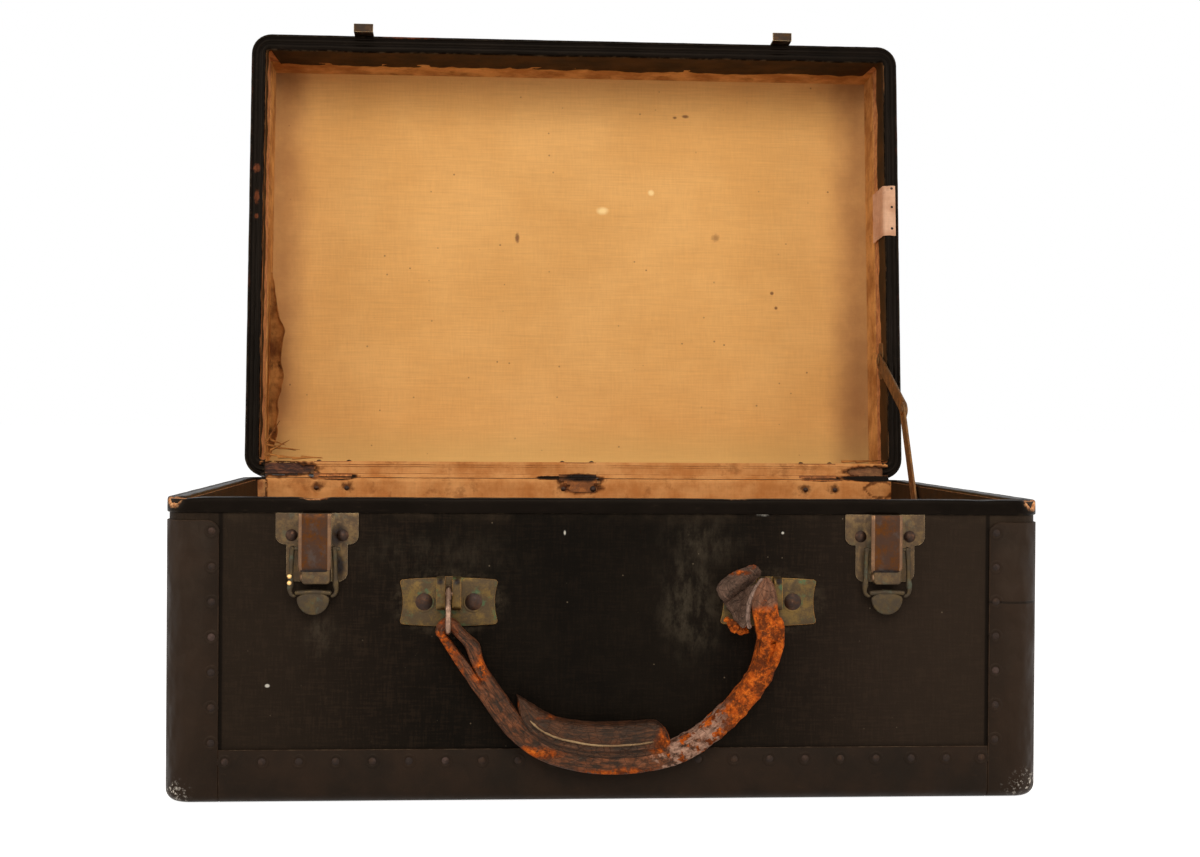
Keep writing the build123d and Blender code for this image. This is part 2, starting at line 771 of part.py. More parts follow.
def link(start, end, face):
    """A flat link with round ends, from one pivot to another, with its wall side at x = face."""
    length = hypot(end[0] - start[0], end[1] - start[1])
    angle = degrees(atan2(end[1] - start[1], end[0] - start[0]))
    shape = SlotCenterToCenter(length, stay_link_width)
    bar = Pos(length / 2, 0, 0) * extrude(shape, stay_link_t)
    bar = bar - Cylinder(stay_pin_radius + pin_clearance, 4 * stay_link_t)
    frame = Plane(origin=(face, *start), x_dir=(0, cos(radians(angle)), sin(radians(angle))), z_dir=(-1, 0, 0))
    return frame.location * bar


def stay_stud(place, face, link_face):
    """A stud on the wall plate, through the link, with a head inside."""
    y, z = place
    inside = link_face - stay_link_t - pin_clearance
    pin = rod(stay_pin_radius, inside, face, y, z)
    head = rod(stay_head_radius, inside - stay_head_t, inside, y, z)
    return pin + head


def stay_bracket(place, link_face):
    """A small riveted plate on the wall with its stud."""
    y, z = place
    plate = slab(stay_plate_face - stay_plate_t, stay_plate_face,
                 y - stay_plate_width / 2, y + stay_plate_width / 2,
                 z - stay_plate_length / 2, z + stay_plate_length / 2)
    plate = fillet(plate.edges().filter_by(Axis.X), stay_plate_width / 4)
    shoulder = rod(stay_head_radius, link_face + pin_clearance, stay_plate_face - stay_plate_t, y, z)
    return plate + shoulder + stay_stud(place, stay_plate_face - stay_plate_t, link_face)


def knee_heads():
    """The two halves of the knee rivet, one on each link."""
    y, z = stay_knee
    upper = rod(stay_head_radius, stay_upper_face, stay_upper_face + stay_head_t, y, z)
    inside = stay_lower_face - stay_link_t
    lower = rod(stay_head_radius, inside - stay_head_t, inside, y, z)
    return upper, lower


# Base

base = boards(board_top, floor_board_t)
front_holes = [hole for x in latch_places.values() for hole in latch_holes(x)]
handle_places = {"left": -handle_span / 2, "right": handle_span / 2}
front_holes = front_holes + [hole for x in handle_places.values() for hole in handle_holes(x)]
base_hinge_holes = rivet_holes(hinge_rivet_places(board_top, -1), (0, -1, 0), 3 * wall_t)
pockets = hinge_pockets()

save("base_bottom_board", base["closed"])
save("base_front_board", drilled(base["front"], front_holes))
save("base_back_board", drilled(base["back"], base_hinge_holes + pockets))
save("base_left_board", base["left"])
save("base_right_board", base["right"])
save("base_cover", drilled(cover(board_top), front_holes + pockets))
save("underside_sheet", underside_sheet())
save("base_corner_bindings", corner_bindings(corner_binding_height))
save("base_bottom_bindings", edge_bindings())
save("base_tacks", group([bottom_tacks(), corner_tacks(corner_binding_height)]))
save("base_rim_strip", rim_strip(base_height))

base_turn_in = turn_in(base_height)
base_windows = leaf_windows(board_top, -1)
base_hinge_cloth = drilled(hinge_cloth(base_height), base_windows + pockets)
base_walls = wall_ring(floor_top + lining_t, board_top) - base_turn_in - hinge_cloth(base_height)
save("base_turn_in", base_turn_in)
save("hinge_cloth_base", base_hinge_cloth)
save("base_lining_walls", drilled(base_walls, base_windows))
save("base_lining_floor", closed_lining(floor_top))

save("hinge_base_leaves", hinge_leaves(board_top, -1))
save("hinge_pins", hinge_pins())
save("hinge_base_rivets", hinge_rivets(board_top, -1))

for side, x in latch_places.items():
    save(f"latch_plate_{side}", latch_plate(x))
    save(f"latch_spring_{side}", latch_spring(x))
    save(f"latch_loop_{side}", latch_loop(x))
save("latch_pins", group([latch_pin(x) for x in latch_places.values()]))
latch_rivet = rivet(latch_rivet_radius, latch_plate_t + cover_t + wall_t)
save("latch_rivets", group([facing(*place, (0, -1, 0)) * latch_rivet
                            for x in latch_places.values() for place in latch_rivet_places(x)]))

# Handle

for side, x in handle_places.items():
    save(f"handle_plate_{side}", handle_plate(x))
    save(f"handle_ring_{side}", handle_ring(x))
save("handle_pins", group([ring_pin(x) for x in handle_places.values()]))
handle_rivet = rivet(handle_rivet_radius, handle_plate_t + cover_t + wall_t)
save("handle_rivets", group([facing(*place, (0, -1, 0)) * handle_rivet
                             for x in handle_places.values() for place in handle_rivet_places(x)]))
line = strap_path()
save("handle_strap", handle_strap(line))
save("handle_grip", handle_grip(line))
save("handle_end_wrap", handle_wrap(line))

# Lid, drawn closed and turned open

lid = {name: to_lid(board) for name, board in boards(lid_depth - rim_cap_t, panel_board_t).items()}
lid_front_holes = [hole for x in latch_places.values() for hole in catch_holes(x)]
lid_hinge_holes = rivet_holes(hinge_rivet_places(lid_board_rim, 1), (0, -1, 0), 3 * wall_t)

save("lid_panel_board", opened(lid["closed"]))
save("lid_front_board", opened(drilled(lid["front"], lid_front_holes)))
save("lid_back_board", opened(drilled(lid["back"], lid_hinge_holes + pockets)))
save("lid_left_board", opened(lid["left"]))
save("lid_right_board", opened(lid["right"]))
save("lid_cover", opened(drilled(to_lid(cover(lid_depth - rim_cap_t)), lid_front_holes + pockets)))
save("lid_corner_bindings", opened(to_lid(corner_bindings(lid_depth - corner_binding_clear))))
save("lid_edge_bindings", opened(to_lid(edge_bindings())))
save("lid_tacks", opened(group([to_lid(bottom_tacks()), to_lid(corner_tacks(lid_depth - corner_binding_clear))])))
save("lid_rim_band", opened(to_lid(rim_strip(lid_depth))))

lid_turn_in = to_lid(turn_in(lid_depth))
lid_windows = leaf_windows(lid_board_rim, 1)
lid_cloth = to_lid(hinge_cloth(lid_depth))
lid_seat = inset_board + panel_board_t
lid_walls = to_lid(wall_ring(lid_seat + lining_t, lid_depth - rim_cap_t)) - lid_turn_in - lid_cloth
save("lid_turn_in", opened(lid_turn_in))
save("hinge_cloth_lid", opened(drilled(lid_cloth, lid_windows + pockets)))
save("lid_lining_walls", opened(drilled(lid_walls, lid_windows)))
save("lid_lining_panel", opened(to_lid(closed_lining(lid_seat))))
save("hinge_lid_leaves", opened(hinge_leaves(lid_board_rim, 1)))
save("hinge_lid_rivets", opened(hinge_rivets(lid_board_rim, 1)))
save("lid_patch", opened(slab(room_x - patch_t, room_x, hinge_y - patch_to, hinge_y - patch_from,
                              lid_rim + patch_rim_clear, lid_rim + patch_rim_clear + patch_width)))

for side, x in latch_places.items():
    save(f"catch_{side}", opened(catch(x)))
catch_rivet = rivet(catch_rivet_radius, catch_plate_t + cover_t + wall_t)
save("catch_rivets", opened(group([facing(*place, (0, -1, 0)) * catch_rivet
                                   for x in latch_places.values() for place in catch_rivet_places(x)])))

# Stay

upper_head, lower_head = knee_heads()
save("stay_base_bracket", stay_bracket(stay_base, stay_lower_face))
save("stay_lid_bracket", stay_bracket(stay_lid, stay_upper_face))
save("stay_upper_link", link(stay_lid, stay_knee, stay_upper_face) + upper_head)
save("stay_lower_link", link(stay_base, stay_knee, stay_lower_face) + lower_head)
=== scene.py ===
# %% [markdown]
# # A worn travelling case with its lid open
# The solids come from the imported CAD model: boards, cover, bindings, latches, handle fittings.
# This script dresses them. Cloth, leather and worn edges are modelled here, because they bend,
# fray and pucker in ways that are easier to shape as meshes than as exact solids.
# Everything is in metres, in the frame of the CAD model.

# %% Load the frame
import json
from math import cos, exp, pi, radians, sin, sqrt

import bmesh
import bpy
from mathutils import Matrix, Vector, noise

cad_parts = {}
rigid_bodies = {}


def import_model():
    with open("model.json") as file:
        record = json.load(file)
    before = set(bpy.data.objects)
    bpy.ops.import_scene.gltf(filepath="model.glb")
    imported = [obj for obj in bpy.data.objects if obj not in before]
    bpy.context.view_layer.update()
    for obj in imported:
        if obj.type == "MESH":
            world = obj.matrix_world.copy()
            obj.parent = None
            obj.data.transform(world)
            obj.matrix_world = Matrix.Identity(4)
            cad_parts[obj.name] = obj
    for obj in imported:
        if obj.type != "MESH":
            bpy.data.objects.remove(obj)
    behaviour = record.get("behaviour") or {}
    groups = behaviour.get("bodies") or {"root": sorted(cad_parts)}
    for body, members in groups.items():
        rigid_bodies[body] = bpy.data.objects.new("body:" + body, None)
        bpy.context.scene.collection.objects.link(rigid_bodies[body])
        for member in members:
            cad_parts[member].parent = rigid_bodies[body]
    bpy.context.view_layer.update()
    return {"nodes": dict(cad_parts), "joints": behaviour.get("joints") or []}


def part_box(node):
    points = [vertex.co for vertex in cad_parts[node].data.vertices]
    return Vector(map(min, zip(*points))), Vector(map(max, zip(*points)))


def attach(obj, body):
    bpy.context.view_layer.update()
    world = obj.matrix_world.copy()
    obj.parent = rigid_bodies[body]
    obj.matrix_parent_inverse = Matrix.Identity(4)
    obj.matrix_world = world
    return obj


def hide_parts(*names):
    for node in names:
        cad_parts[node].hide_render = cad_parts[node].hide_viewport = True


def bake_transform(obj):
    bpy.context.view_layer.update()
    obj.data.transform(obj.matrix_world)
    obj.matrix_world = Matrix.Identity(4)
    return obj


for thing in list(bpy.data.objects):
    bpy.data.objects.remove(thing)
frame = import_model()
mm = 0.001

# %% [markdown]
# ## The camera
# The photograph was taken from in front, level with the top of the case and a little to its left,
# with a normal lens. The camera's place was found from the corners of the case, so it is written
# as a place and three turns.

# %% Set the camera
lens_pixels, photo_width = 1768.8, 1200
camera_place = (-0.0678, -1.0685, 0.1985)
turned_right, tilted_down, rolled = 3.894, 0.335, 0.399
eye = bpy.data.cameras.new("camera")
eye.sensor_width = 36
eye.lens = lens_pixels / photo_width * eye.sensor_width
camera = bpy.data.objects.new("camera", eye)
bpy.context.scene.collection.objects.link(camera)
camera.matrix_world = (
    Matrix.Translation(camera_place)
    @ Matrix.Rotation(radians(-turned_right), 4, "Z")
    @ Matrix.Rotation(radians(90 - tilted_down), 4, "X")
    @ Matrix.Rotation(radians(rolled), 4, "Z")
)
bpy.context.scene.camera = camera
bpy.context.scene.view_settings.view_transform = "Standard"
print("lens", round(eye.lens, 1), "mm")

# %% [markdown]
# ## Helpers for modelling
# Operators act on all that is selected, so each helper first deselects everything.
# A piece starts as a primitive, and is shaped by edit-mode operators or by moving its corners.
# It is finished with modifiers that are applied at once.

# %% Selecting and starting a mesh
def only(thing):
    """Leave edit mode and select one object."""
    if bpy.context.object and bpy.context.object.mode != "OBJECT":
        bpy.ops.object.mode_set(mode="OBJECT")
    bpy.ops.object.select_all(action="DESELECT")
    thing.select_set(True)
    bpy.context.view_layer.objects.active = thing


def start(name, kind, **sizes):
    """Add a primitive with its place in its mesh."""
    bpy.ops.object.select_all(action="DESELECT")
    getattr(bpy.ops.mesh, f"primitive_{kind}_add")(**sizes)
    thing = bpy.context.object
    thing.name = thing.data.name = name
    bpy.ops.object.transform_apply(location=True, rotation=True, scale=True)
    return thing


def modify(thing, kind, **settings):
    """Add one modifier and apply it."""
    only(thing)
    modifier = thing.modifiers.new(kind, kind)
    for setting, value in settings.items():
        setattr(modifier, setting, value)
    bpy.ops.object.modifier_apply(modifier=modifier.name)


# %% [markdown]
# Sheet metal and leather have soft edges, cloth and card have a thickness, and a strap closes on
# itself. Each of these is one short helper, so the pieces below only say how much.

# %% Edges, sheets and tubes
def rounded(thing, width, angle=50, steps=2, material=-1):
    """Bevel the edges that are sharper than an angle; width in mm."""
    modify(thing, "BEVEL", width=width * mm, segments=steps, limit_method="ANGLE", angle_limit=radians(angle),
           material=material)


def thickened(thing, thickness, offset=-1):
    """Give a sheet its thickness in mm: inwards at -1, both ways at 0, outwards at 1."""
    modify(thing, "SOLIDIFY", thickness=thickness * mm, offset=offset)


def two_slots(thing):
    """Empty material slots for the plain faces and the rubbed ones."""
    thing.data.materials.clear()
    for kind in ("plain", "rubbed"):
        thing.data.materials.append(None)


def tidy_mesh(thing, turn_out=False):
    """Merge corners that meet, and turn all faces outwards if asked."""
    only(thing)
    bpy.ops.object.mode_set(mode="EDIT")
    bpy.ops.mesh.select_all(action="SELECT")
    bpy.ops.mesh.remove_doubles(threshold=0.02 * mm)
    if turn_out:
        bpy.ops.mesh.normals_make_consistent(inside=False)
    bpy.ops.object.mode_set(mode="OBJECT")


def shaped(name, columns, rows, place):
    """A grid whose corners go where place(u, v) says, with u and v from 0 to 1."""
    thing = start(name, "grid", x_subdivisions=columns, y_subdivisions=rows, size=1)
    for corner in thing.data.vertices:
        corner.co = place(corner.co.x + 0.5, corner.co.y + 0.5)
    return thing


def tube(name, columns, rows, place):
    """A grid that closes on itself, with its seam merged and its faces turned outwards."""
    thing = shaped(name, columns, rows, place)
    tidy_mesh(thing, turn_out=True)
    return thing


def cut_away(thing, test):
    """Delete the faces whose middle passes a test."""
    only(thing)
    mesh = bmesh.new()
    mesh.from_mesh(thing.data)
    gone = [face for face in mesh.faces if test(face.calc_center_median())]
    bmesh.ops.delete(mesh, geom=gone, context="FACES")
    mesh.to_mesh(thing.data)
    mesh.free()
    return len(gone)


def rough(place, size, seed=0.0):
    """Smooth noise from -1 to 1 at a place; size is the size of its lumps."""
    return noise.noise(Vector(place) / size + Vector((seed, seed * 1.7, -seed)))


def ease(value):
    """0 below 0 and 1 above 1, with a soft start and end between."""
    value = min(1.0, max(0.0, value))
    return value * value * (3 - 2 * value)


def softened(node, width):
    """A copy of a CAD node with its sharp edges rounded; width in mm."""
    thing = bpy.data.objects.new(node + "_worn", frame["nodes"][node].data.copy())
    bpy.context.scene.collection.objects.link(thing)
    tidy_mesh(thing)
    only(thing)
    bpy.ops.object.mode_set(mode="EDIT")
    bpy.ops.mesh.select_all(action="SELECT")
    bpy.ops.mesh.dissolve_limited(angle_limit=radians(1))
    bpy.ops.object.mode_set(mode="OBJECT")
    two_slots(thing)
    rounded(thing, width, angle=35, material=1)
    return thing


# %% [markdown]
# Each finished piece rides on a body of the CAD model, takes a finish and may stand for one
# or more of its nodes. One helper does all three and reports what was made.

# %% Handing a piece to the frame
def done(thing, body, slot, finish, replaces=(), smooth=40, rubbed=None):
    """Shade, paint and attach a finished piece; rubbed is a second finish for bevelled edges."""
    only(thing)
    bpy.ops.object.shade_smooth_by_angle(angle=radians(smooth))
    sides = [face.material_index for face in thing.data.polygons]
    thing.data.materials.clear()
    thing.data.materials.append(finish)
    if rubbed:
        thing.data.materials.append(rubbed)
        thing.data.polygons.foreach_set("material_index", sides)
    else:
        thing.data.polygons.foreach_set("material_index", [0] * len(sides))
    if body:
        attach(thing, body)
    if replaces:
        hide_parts(*replaces)
    print(f"{thing.name}: {len(thing.data.polygons)} faces on {body or 'two bodies'}")
    return thing


def painted(finish, *nodes):
    """Give CAD nodes that keep their shape a finish."""
    for node in nodes:
        materials = frame["nodes"][node].data.materials
        materials.clear()
        materials.append(finish)
    print(f"{finish.name}: painted on {len(nodes)} nodes")


# %% [markdown]
# ## Shader maths in plain Python
# A wrapped socket that knows + - * and / makes shader sums readable: `1 - mask` adds the node.
# One method adds any other node from its type, its settings and its inputs.

# %% The socket class
class Value:
    """A number that changes over the surface."""

    def __init__(self, finish, socket):
        self.finish, self.socket = finish, socket

    def math(self, operation, other, swapped=False):
        terms = (other, self) if swapped else (self, other)
        node = self.finish.node("ShaderNodeMath", {"operation": operation}, dict(enumerate(terms)))
        return Value(self.finish, node.outputs[0])

    def __add__(self, other):
        return self.math("ADD", other)

    def __sub__(self, other):
        return self.math("SUBTRACT", other)

    def __rsub__(self, other):
        return self.math("SUBTRACT", other, swapped=True)

    def __mul__(self, other):
        return self.math("MULTIPLY", other)

    __radd__, __rmul__ = __add__, __mul__

    def most(self, other):
        return self.math("MAXIMUM", other)

    def between(self, low, high):
        """0 at low, 1 at high, smooth in between; low may be the larger."""
        node = self.finish.node("ShaderNodeMapRange", {"interpolation_type": "SMOOTHSTEP"},
                                {"Value": self, "From Min": low, "From Max": high})
        return Value(self.finish, node.outputs[0])


# %% [markdown]
# Real surfaces are layers: a colour, dirt in the hollows, wear on the edges, a grain that catches
# light. Painted pictures could carry them, but they would fix the size and blur when seen close.
# So every layer is noise, a row of threads or a placed patch, mixed over the one below it.

# %% The material builder
def tint(red, green, blue):
    """A colour written as on a screen, 0 to 255, turned into the linear one that shaders use."""
    return (*((part / 12.92 if part <= 0.04045 else ((part + 0.055) / 1.055) ** 2.4)
              for part in (red / 255, green / 255, blue / 255)), 1.0)


class Finish:
    """A material in the making, or the light of the room when a world is handed in."""

    def __init__(self, name, world=None):
        self.material = world or bpy.data.materials.new(name)
        self.material.use_nodes = True
        self.tree = self.material.node_tree
        self.tree.nodes.clear()
        self.place = self.node("ShaderNodeTexCoord").outputs["Object"]

    def node(self, kind, settings=None, inputs=None):
        node = self.tree.nodes.new(kind)
        for name, value in (settings or {}).items():
            setattr(node, name, value)
        for name, value in (inputs or {}).items():
            value = value.socket if isinstance(value, Value) else value
            if isinstance(value, bpy.types.NodeSocket):
                self.tree.links.new(value, node.inputs[name])
            else:
                node.inputs[name].default_value = value
        return node

    def moved(self, stretch=(1, 1, 1), shift=(0, 0, 0)):
        """Object coordinates, stretched and shifted."""
        return self.node("ShaderNodeVectorMath", {"operation": "MULTIPLY_ADD"},
                         {0: self.place, 1: stretch, 2: shift}).outputs[0]

    def clouds(self, size, detail=3.0, rough=0.55, stretch=(1, 1, 1), shift=(0, 0, 0)):
        """Noise whose lumps have this size in mm."""
        node = self.node("ShaderNodeTexNoise", None, {
            "Vector": self.moved(stretch, shift), "Scale": 1 / (size * mm),
            "Detail": detail, "Roughness": rough})
        return Value(self, node.outputs[0])

    def cells(self, size, shift=(0, 0, 0), feature="F1"):
        """Distance from scattered points this many mm apart."""
        node = self.node("ShaderNodeTexVoronoi", {"feature": feature},
                         {"Vector": self.moved(shift=shift), "Scale": 1 / (size * mm)})
        return Value(self, node.outputs["Distance"])

    def along(self, axis):
        """One object coordinate, in metres."""
        node = self.node("ShaderNodeSeparateXYZ", None, {0: self.place})
        return Value(self, node.outputs[axis])

    def across(self, axis):
        """One coordinate of the mesh's own grid: X runs along u and Y along v, from 0 to 1."""
        node = self.node("ShaderNodeSeparateXYZ", None, {0: self.node("ShaderNodeTexCoord").outputs["UV"]})
        return Value(self, node.outputs[axis])

    def streaks(self, length, girth, along=9, wide=0.8, shift=0.0):
        """Noise drawn out along u of a grid that is this long and this far round; all sizes in mm."""
        place = self.node("ShaderNodeVectorMath", {"operation": "MULTIPLY_ADD"}, {
            0: self.node("ShaderNodeTexCoord").outputs["UV"], 1: (length / along, girth / wide, 1),
            2: (shift, shift, shift)}).outputs[0]
        node = self.node("ShaderNodeTexNoise", None, {
            "Vector": place, "Scale": 1.0, "Detail": 5.0, "Roughness": 0.68})
        return Value(self, node.outputs[0])

    def threads(self, pitch, axis):
        """Parallel threads across one axis, from 0 to 1; the pitch is in mm."""
        wave = self.along(axis) * (2 * pi / (pitch * mm))
        return wave.math("SINE", 0) * 0.5 + 0.5

    def spot(self, middle, size, soft=0.25, ragged=0.35, grain=6, share=1):
        """A share inside an uneven patch, 0 outside; its middle, half widths and grain are in mm."""
        stretch = tuple(1 / (part * mm) for part in size)
        shift = tuple(-place / part for place, part in zip(middle, size))
        away = Value(self, self.node("ShaderNodeVectorMath", {"operation": "LENGTH"},
                                     {0: self.moved(stretch, shift)}).outputs["Value"])
        patch = (away + (self.clouds(grain, 4) - 0.5) * (2 * ragged)).between(1 + soft, 1 - soft)
        return patch if share == 1 else patch * share

    def spots(self, *rows):
        """The strongest of several patches, each given as the input of spot."""
        whole = self.spot(*rows[0])
        for row in rows[1:]:
            whole = whole.most(self.spot(*row))
        return whole

    def mix(self, under, over, mask, way="MIX"):
        """One colour over another where the mask is 1; a plain colour is written as on a screen."""
        under, over = (tint(*colour) if isinstance(colour, tuple) else colour for colour in (under, over))
        return self.node("ShaderNodeMix", {"data_type": "RGBA", "blend_type": way},
                         {0: mask, 6: under, 7: over}).outputs[2]

    def coat(self, over, mask):
        """Lay a colour over what is there, where the mask is 1."""
        self.colour = self.mix(self.colour, over, mask)

    def shade(self, mask):
        """Darken or lighten what is there by a grey value."""
        grey = self.node("ShaderNodeCombineColor", None, {0: mask, 1: mask, 2: mask}).outputs[0]
        self.colour = self.mix(self.colour, grey, 1.0, "MULTIPLY")

    def worn_edges(self, low=0.52, high=0.60):
        """1 on sharp outward edges, from the mesh's own curvature."""
        return Value(self, self.node("ShaderNodeNewGeometry").outputs["Pointiness"]).between(low, high)

    def finish(self, roughness, height, depth, strength, metal=0.0, **fixed):
        """Wire the shader and return the material; depth is the height of the bumps in mm."""
        inputs = {"Base Color": self.colour, "Roughness": roughness, "Metallic": metal}
        bump = self.node("ShaderNodeBump", None,
                         {"Height": height, "Distance": depth * mm, "Strength": strength})
        inputs["Normal"] = bump.outputs[0]
        shader = self.node("ShaderNodeBsdfPrincipled", None, inputs)
        for name, value in fixed.items():
            shader.inputs[name.replace("_", " ")].default_value = value
        self.node("ShaderNodeOutputMaterial", None, {0: shader.outputs[0]})
        return self.material


# %% [markdown]
# ## Cover cloth
# The boards are covered with cloth that was coated black and pressed with a fine grain.
# A hundred years have browned it, and hands have rubbed it grey above and beside the handle.
# Two sets of fine threads and small clouds make the grain; large clouds and placed patches
# make the rubbing, so that wear sits where the real one is worn. Towards both sides the cloth
# is painted paler as painted side light, and thin dark lines beside the bindings are painted shadow.

# %% Cover cloth
warm = (1.0, 0.80, 0.62, 1.0)
binding_edge, bottom_edge = 0.1994, 0.0283  # where the cloth goes under the fibre, in metres


def cover_cloth():
    """Black coated cloth, browned, rubbed grey round the handle and dusty, painted paler towards the sides as
    painted side light, with painted shadow beside the bindings.
    """
    f = Finish("cover_cloth")
    grain = f.threads(0.9, "X").most(f.threads(0.9, "Z").most(f.threads(0.9, "Y")))
    fine = f.clouds(0.8, 2)
    lumps = f.clouds(9, 4, 0.6)
    f.colour = f.mix((5, 4, 3), (16, 12, 8), f.clouds(60, 5, 0.65).between(0.35, 0.7))
    across = f.clouds(1.2, 3, 0.65, stretch=(0.10, 1, 1))
    upright = f.clouds(1.2, 3, 0.65, stretch=(1, 1, 0.10))
    cords = (across + upright).between(0.86, 1.22)
    aside = f.along("X").math("ABSOLUTE", 0)
    # The browning is real, but its growth towards both sides is painted side light.
    browned = (lumps * 0.6 + cords * 0.4).between(0.36, 0.74)
    f.coat((40, 30, 22), browned * (aside.between(0.02, 0.16) * 0.35 + 0.15))
    # Painted side light: a paler coat laid over the cloth towards both sides.
    sides = aside.between(0.07, 0.20)
    f.coat((46, 36, 28), sides * 0.5)
    paler = f.spot((165, -154, 78), (72, 20, 72), 0.9, 0.3, 40)
    f.coat((56, 44, 36), paler * 0.25)
    rubbed = f.spots(((42, -154, 102), (13, 20, 22), 0.9, 0.5, 14),
                     ((47, -154, 134), (16, 20, 12), 0.9, 0.5, 14, 0.7),
                     ((-148, -154, 86), (7, 20, 9), 0.8, 0.5, 10, 0.6),
                     ((-92, -154, 126), (34, 20, 10), 0.9, 0.6, 20, 0.4))
    halo = f.spots(*(((x, -154, 103), (29, 20, 17), 0.16, 0.12, 5) for x in (-83, 83)))
    f.coat((66, 56, 44), halo * f.clouds(4, 5, 0.7).between(0.35, 0.65) * 0.5)
    worn = f.clouds(5, 6, 0.7, stretch=(1, 1, 0.5)).between(0.36, 0.74)
    f.coat((84, 74, 60), rubbed * worn * 0.55)
    top = f.along("Z").between(0.142, 0.150) * f.clouds(22, 4, 0.7).between(0.42, 0.75)
    f.coat((62, 50, 38), top * 0.5)
    dust = f.cells(5).between(0.10, 0.04) * f.clouds(13).between(0.56, 0.64)
    f.coat((128, 112, 92), dust * 0.6)
    flecks = f.spots(((-175.5, -154, 60.2), (1.2, 9, 0.9), 0.3, 0.3),
                     ((80, -154, 151), (4.2, 9, 2.2), 0.5, 0.8, 2),
                     ((-23.4, -154, 139), (0.5, 9, 1.2), 0.4, 0.4),
                     ((90.5, -154, 139.2), (0.6, 9, 0.6), 0.4, 0.4))
    f.coat((196, 190, 178), flecks * 0.85)
    # Painted shadow: thin dark lines on the cloth beside the corner bindings and above the bottom binding.
    painted_shadow_beside_corners = (aside - binding_edge).math("ABSOLUTE", 0).between(0.0016, 0.0006)
    painted_shadow_above_bottom = (f.along("Z") - bottom_edge).math("ABSOLUTE", 0).between(0.0013, 0.0005)
    f.coat((7, 5, 4), painted_shadow_beside_corners.most(painted_shadow_above_bottom * 0.25) * 0.85)
    height = grain * 0.3 + cords * 0.25 + fine * 0.3 + lumps * 0.3
    rough = 0.62 - lumps * 0.16 + worn * rubbed * 0.2
    return f.finish(rough, height, 0.25, 0.9, Specular_IOR_Level=0.05, Specular_Tint=warm)


# %% [markdown]
# ## Vulcanised fibre
# The bindings are hard sheets of pressed fibre, bent round the edges while damp and nailed down.
# The surface is smooth and waxy, darker round each tack and paler where it has been knocked.

# %% Fibre for the bindings and the rims
def fibre(name, dark, light, edge, gloss):
    """Clouded fibre, pale at its edges and worn to the wood at the places the photo shows."""
    f = Finish(name)
    clouds = f.clouds(34, 6, 0.62)
    scuffs = f.clouds(7, 5, 0.7, stretch=(1, 1, 3))
    f.colour = f.mix(dark, light, clouds.between(0.3, 0.72))
    f.coat((52, 41, 32), scuffs.between(0.58, 0.8) * 0.4)
    edges = f.worn_edges(0.53, 0.60) * f.clouds(4, 5, 0.7).between(0.46, 0.62)
    f.coat(edge, edges * 0.6)
    bare = f.clouds(3, 5, 0.7).between(0.30, 0.44)
    corners = f.spots(((-224, -150, 156), (5.5, 6.5, 4.2), 0.25, 0.5, 3),
                      ((224, -150, 156), (5.5, 6.5, 4.6), 0.25, 0.5, 3),
                      ((-152, -154, 157.2), (7.0, 4, 1.5), 0.3, 0.5, 2),
                      ((66, -154, 157.2), (8.0, 4, 0.7), 0.3, 0.6, 2))
    wood = f.mix((150, 84, 44), (224, 164, 112), f.clouds(1.6, 4, 0.7).between(0.35, 0.65))
    f.coat(wood, corners * bare)
    dents = f.spots(((-223.5, 170, 371), (2.2, 60, 2.6), 0.4, 0.8, 2),
                    ((-223, 170, 351), (1.6, 60, 4.5), 0.4, 0.8, 2),
                    ((-223, 170, 337), (1.5, 60, 1.5), 0.4, 0.6, 2),
                    ((-120, 200, 466), (16, 60, 1.6), 0.4, 1.2, 3))
    f.coat((110, 58, 34), dents * bare * 0.8)
    hairline = f.spots(*(((x, 240, 300), (2.0, 60, 200), 0.5, 0.9, 8) for x in (228.5, -228.5)))
    f.coat((92, 46, 26), hairline * f.clouds(5, 4).between(0.42, 0.6) * 0.5)
    height = f.clouds(2.4, 4) * 0.4 + clouds * 0.6
    return f.finish(gloss + scuffs * 0.25, height, 0.35, 0.55, Specular_IOR_Level=0.05, Specular_Tint=warm)


def chipped_fibre():
    """Binding fibre, with white chips at the two lower front corners and a painted shadow line along the
    joint at the right one.
    """
    f = Finish("binding_fibre")
    joint_z = 0.1035
    clouds = f.clouds(30, 6, 0.62)
    scuffs = f.clouds(7, 5, 0.7, stretch=(1, 1, 2.5))
    f.colour = f.mix((19, 13, 9), (34, 23, 16), clouds.between(0.3, 0.72))
    f.coat((50, 37, 27), scuffs.between(0.56, 0.8) * 0.4)
    sides = f.along("X").math("ABSOLUTE", 0).between(0.19, 0.222)
    f.coat((46, 34, 26), sides * 0.45)
    chips = f.clouds(2.2, 5, 0.75).between(0.55, 0.62)
    low = f.spots(((-226, -151, 3), (10, 12, 7), 0.6, 0.6),
                  ((226, -151, 4), (12, 12, 9), 0.6, 0.6))
    f.coat((214, 204, 192), chips * low * 0.8)
    swells = f.clouds(24, 2, 0.4, stretch=(1.7, 1.7, 1)) * (1.0 + sides * 2.4)
    # Painted shadow: a dark line where the right corner binding overlaps the bottom binding.
    seam = f.along("Z") - joint_z + (f.clouds(30, 2) - 0.5) * 0.004
    seam = seam.math("ABSOLUTE", 0).between(0.0008, 0.0003) * f.along("X").between(0.190, 0.194)
    f.shade(1 - seam * 0.7)
    height = f.clouds(2.2, 4) * 0.10 + clouds * 0.2 + swells - seam * 0.2
    return f.finish(0.42 + scuffs * 0.2, height, 1.8, 0.8, Specular_IOR_Level=0.11, Specular_Tint=warm)
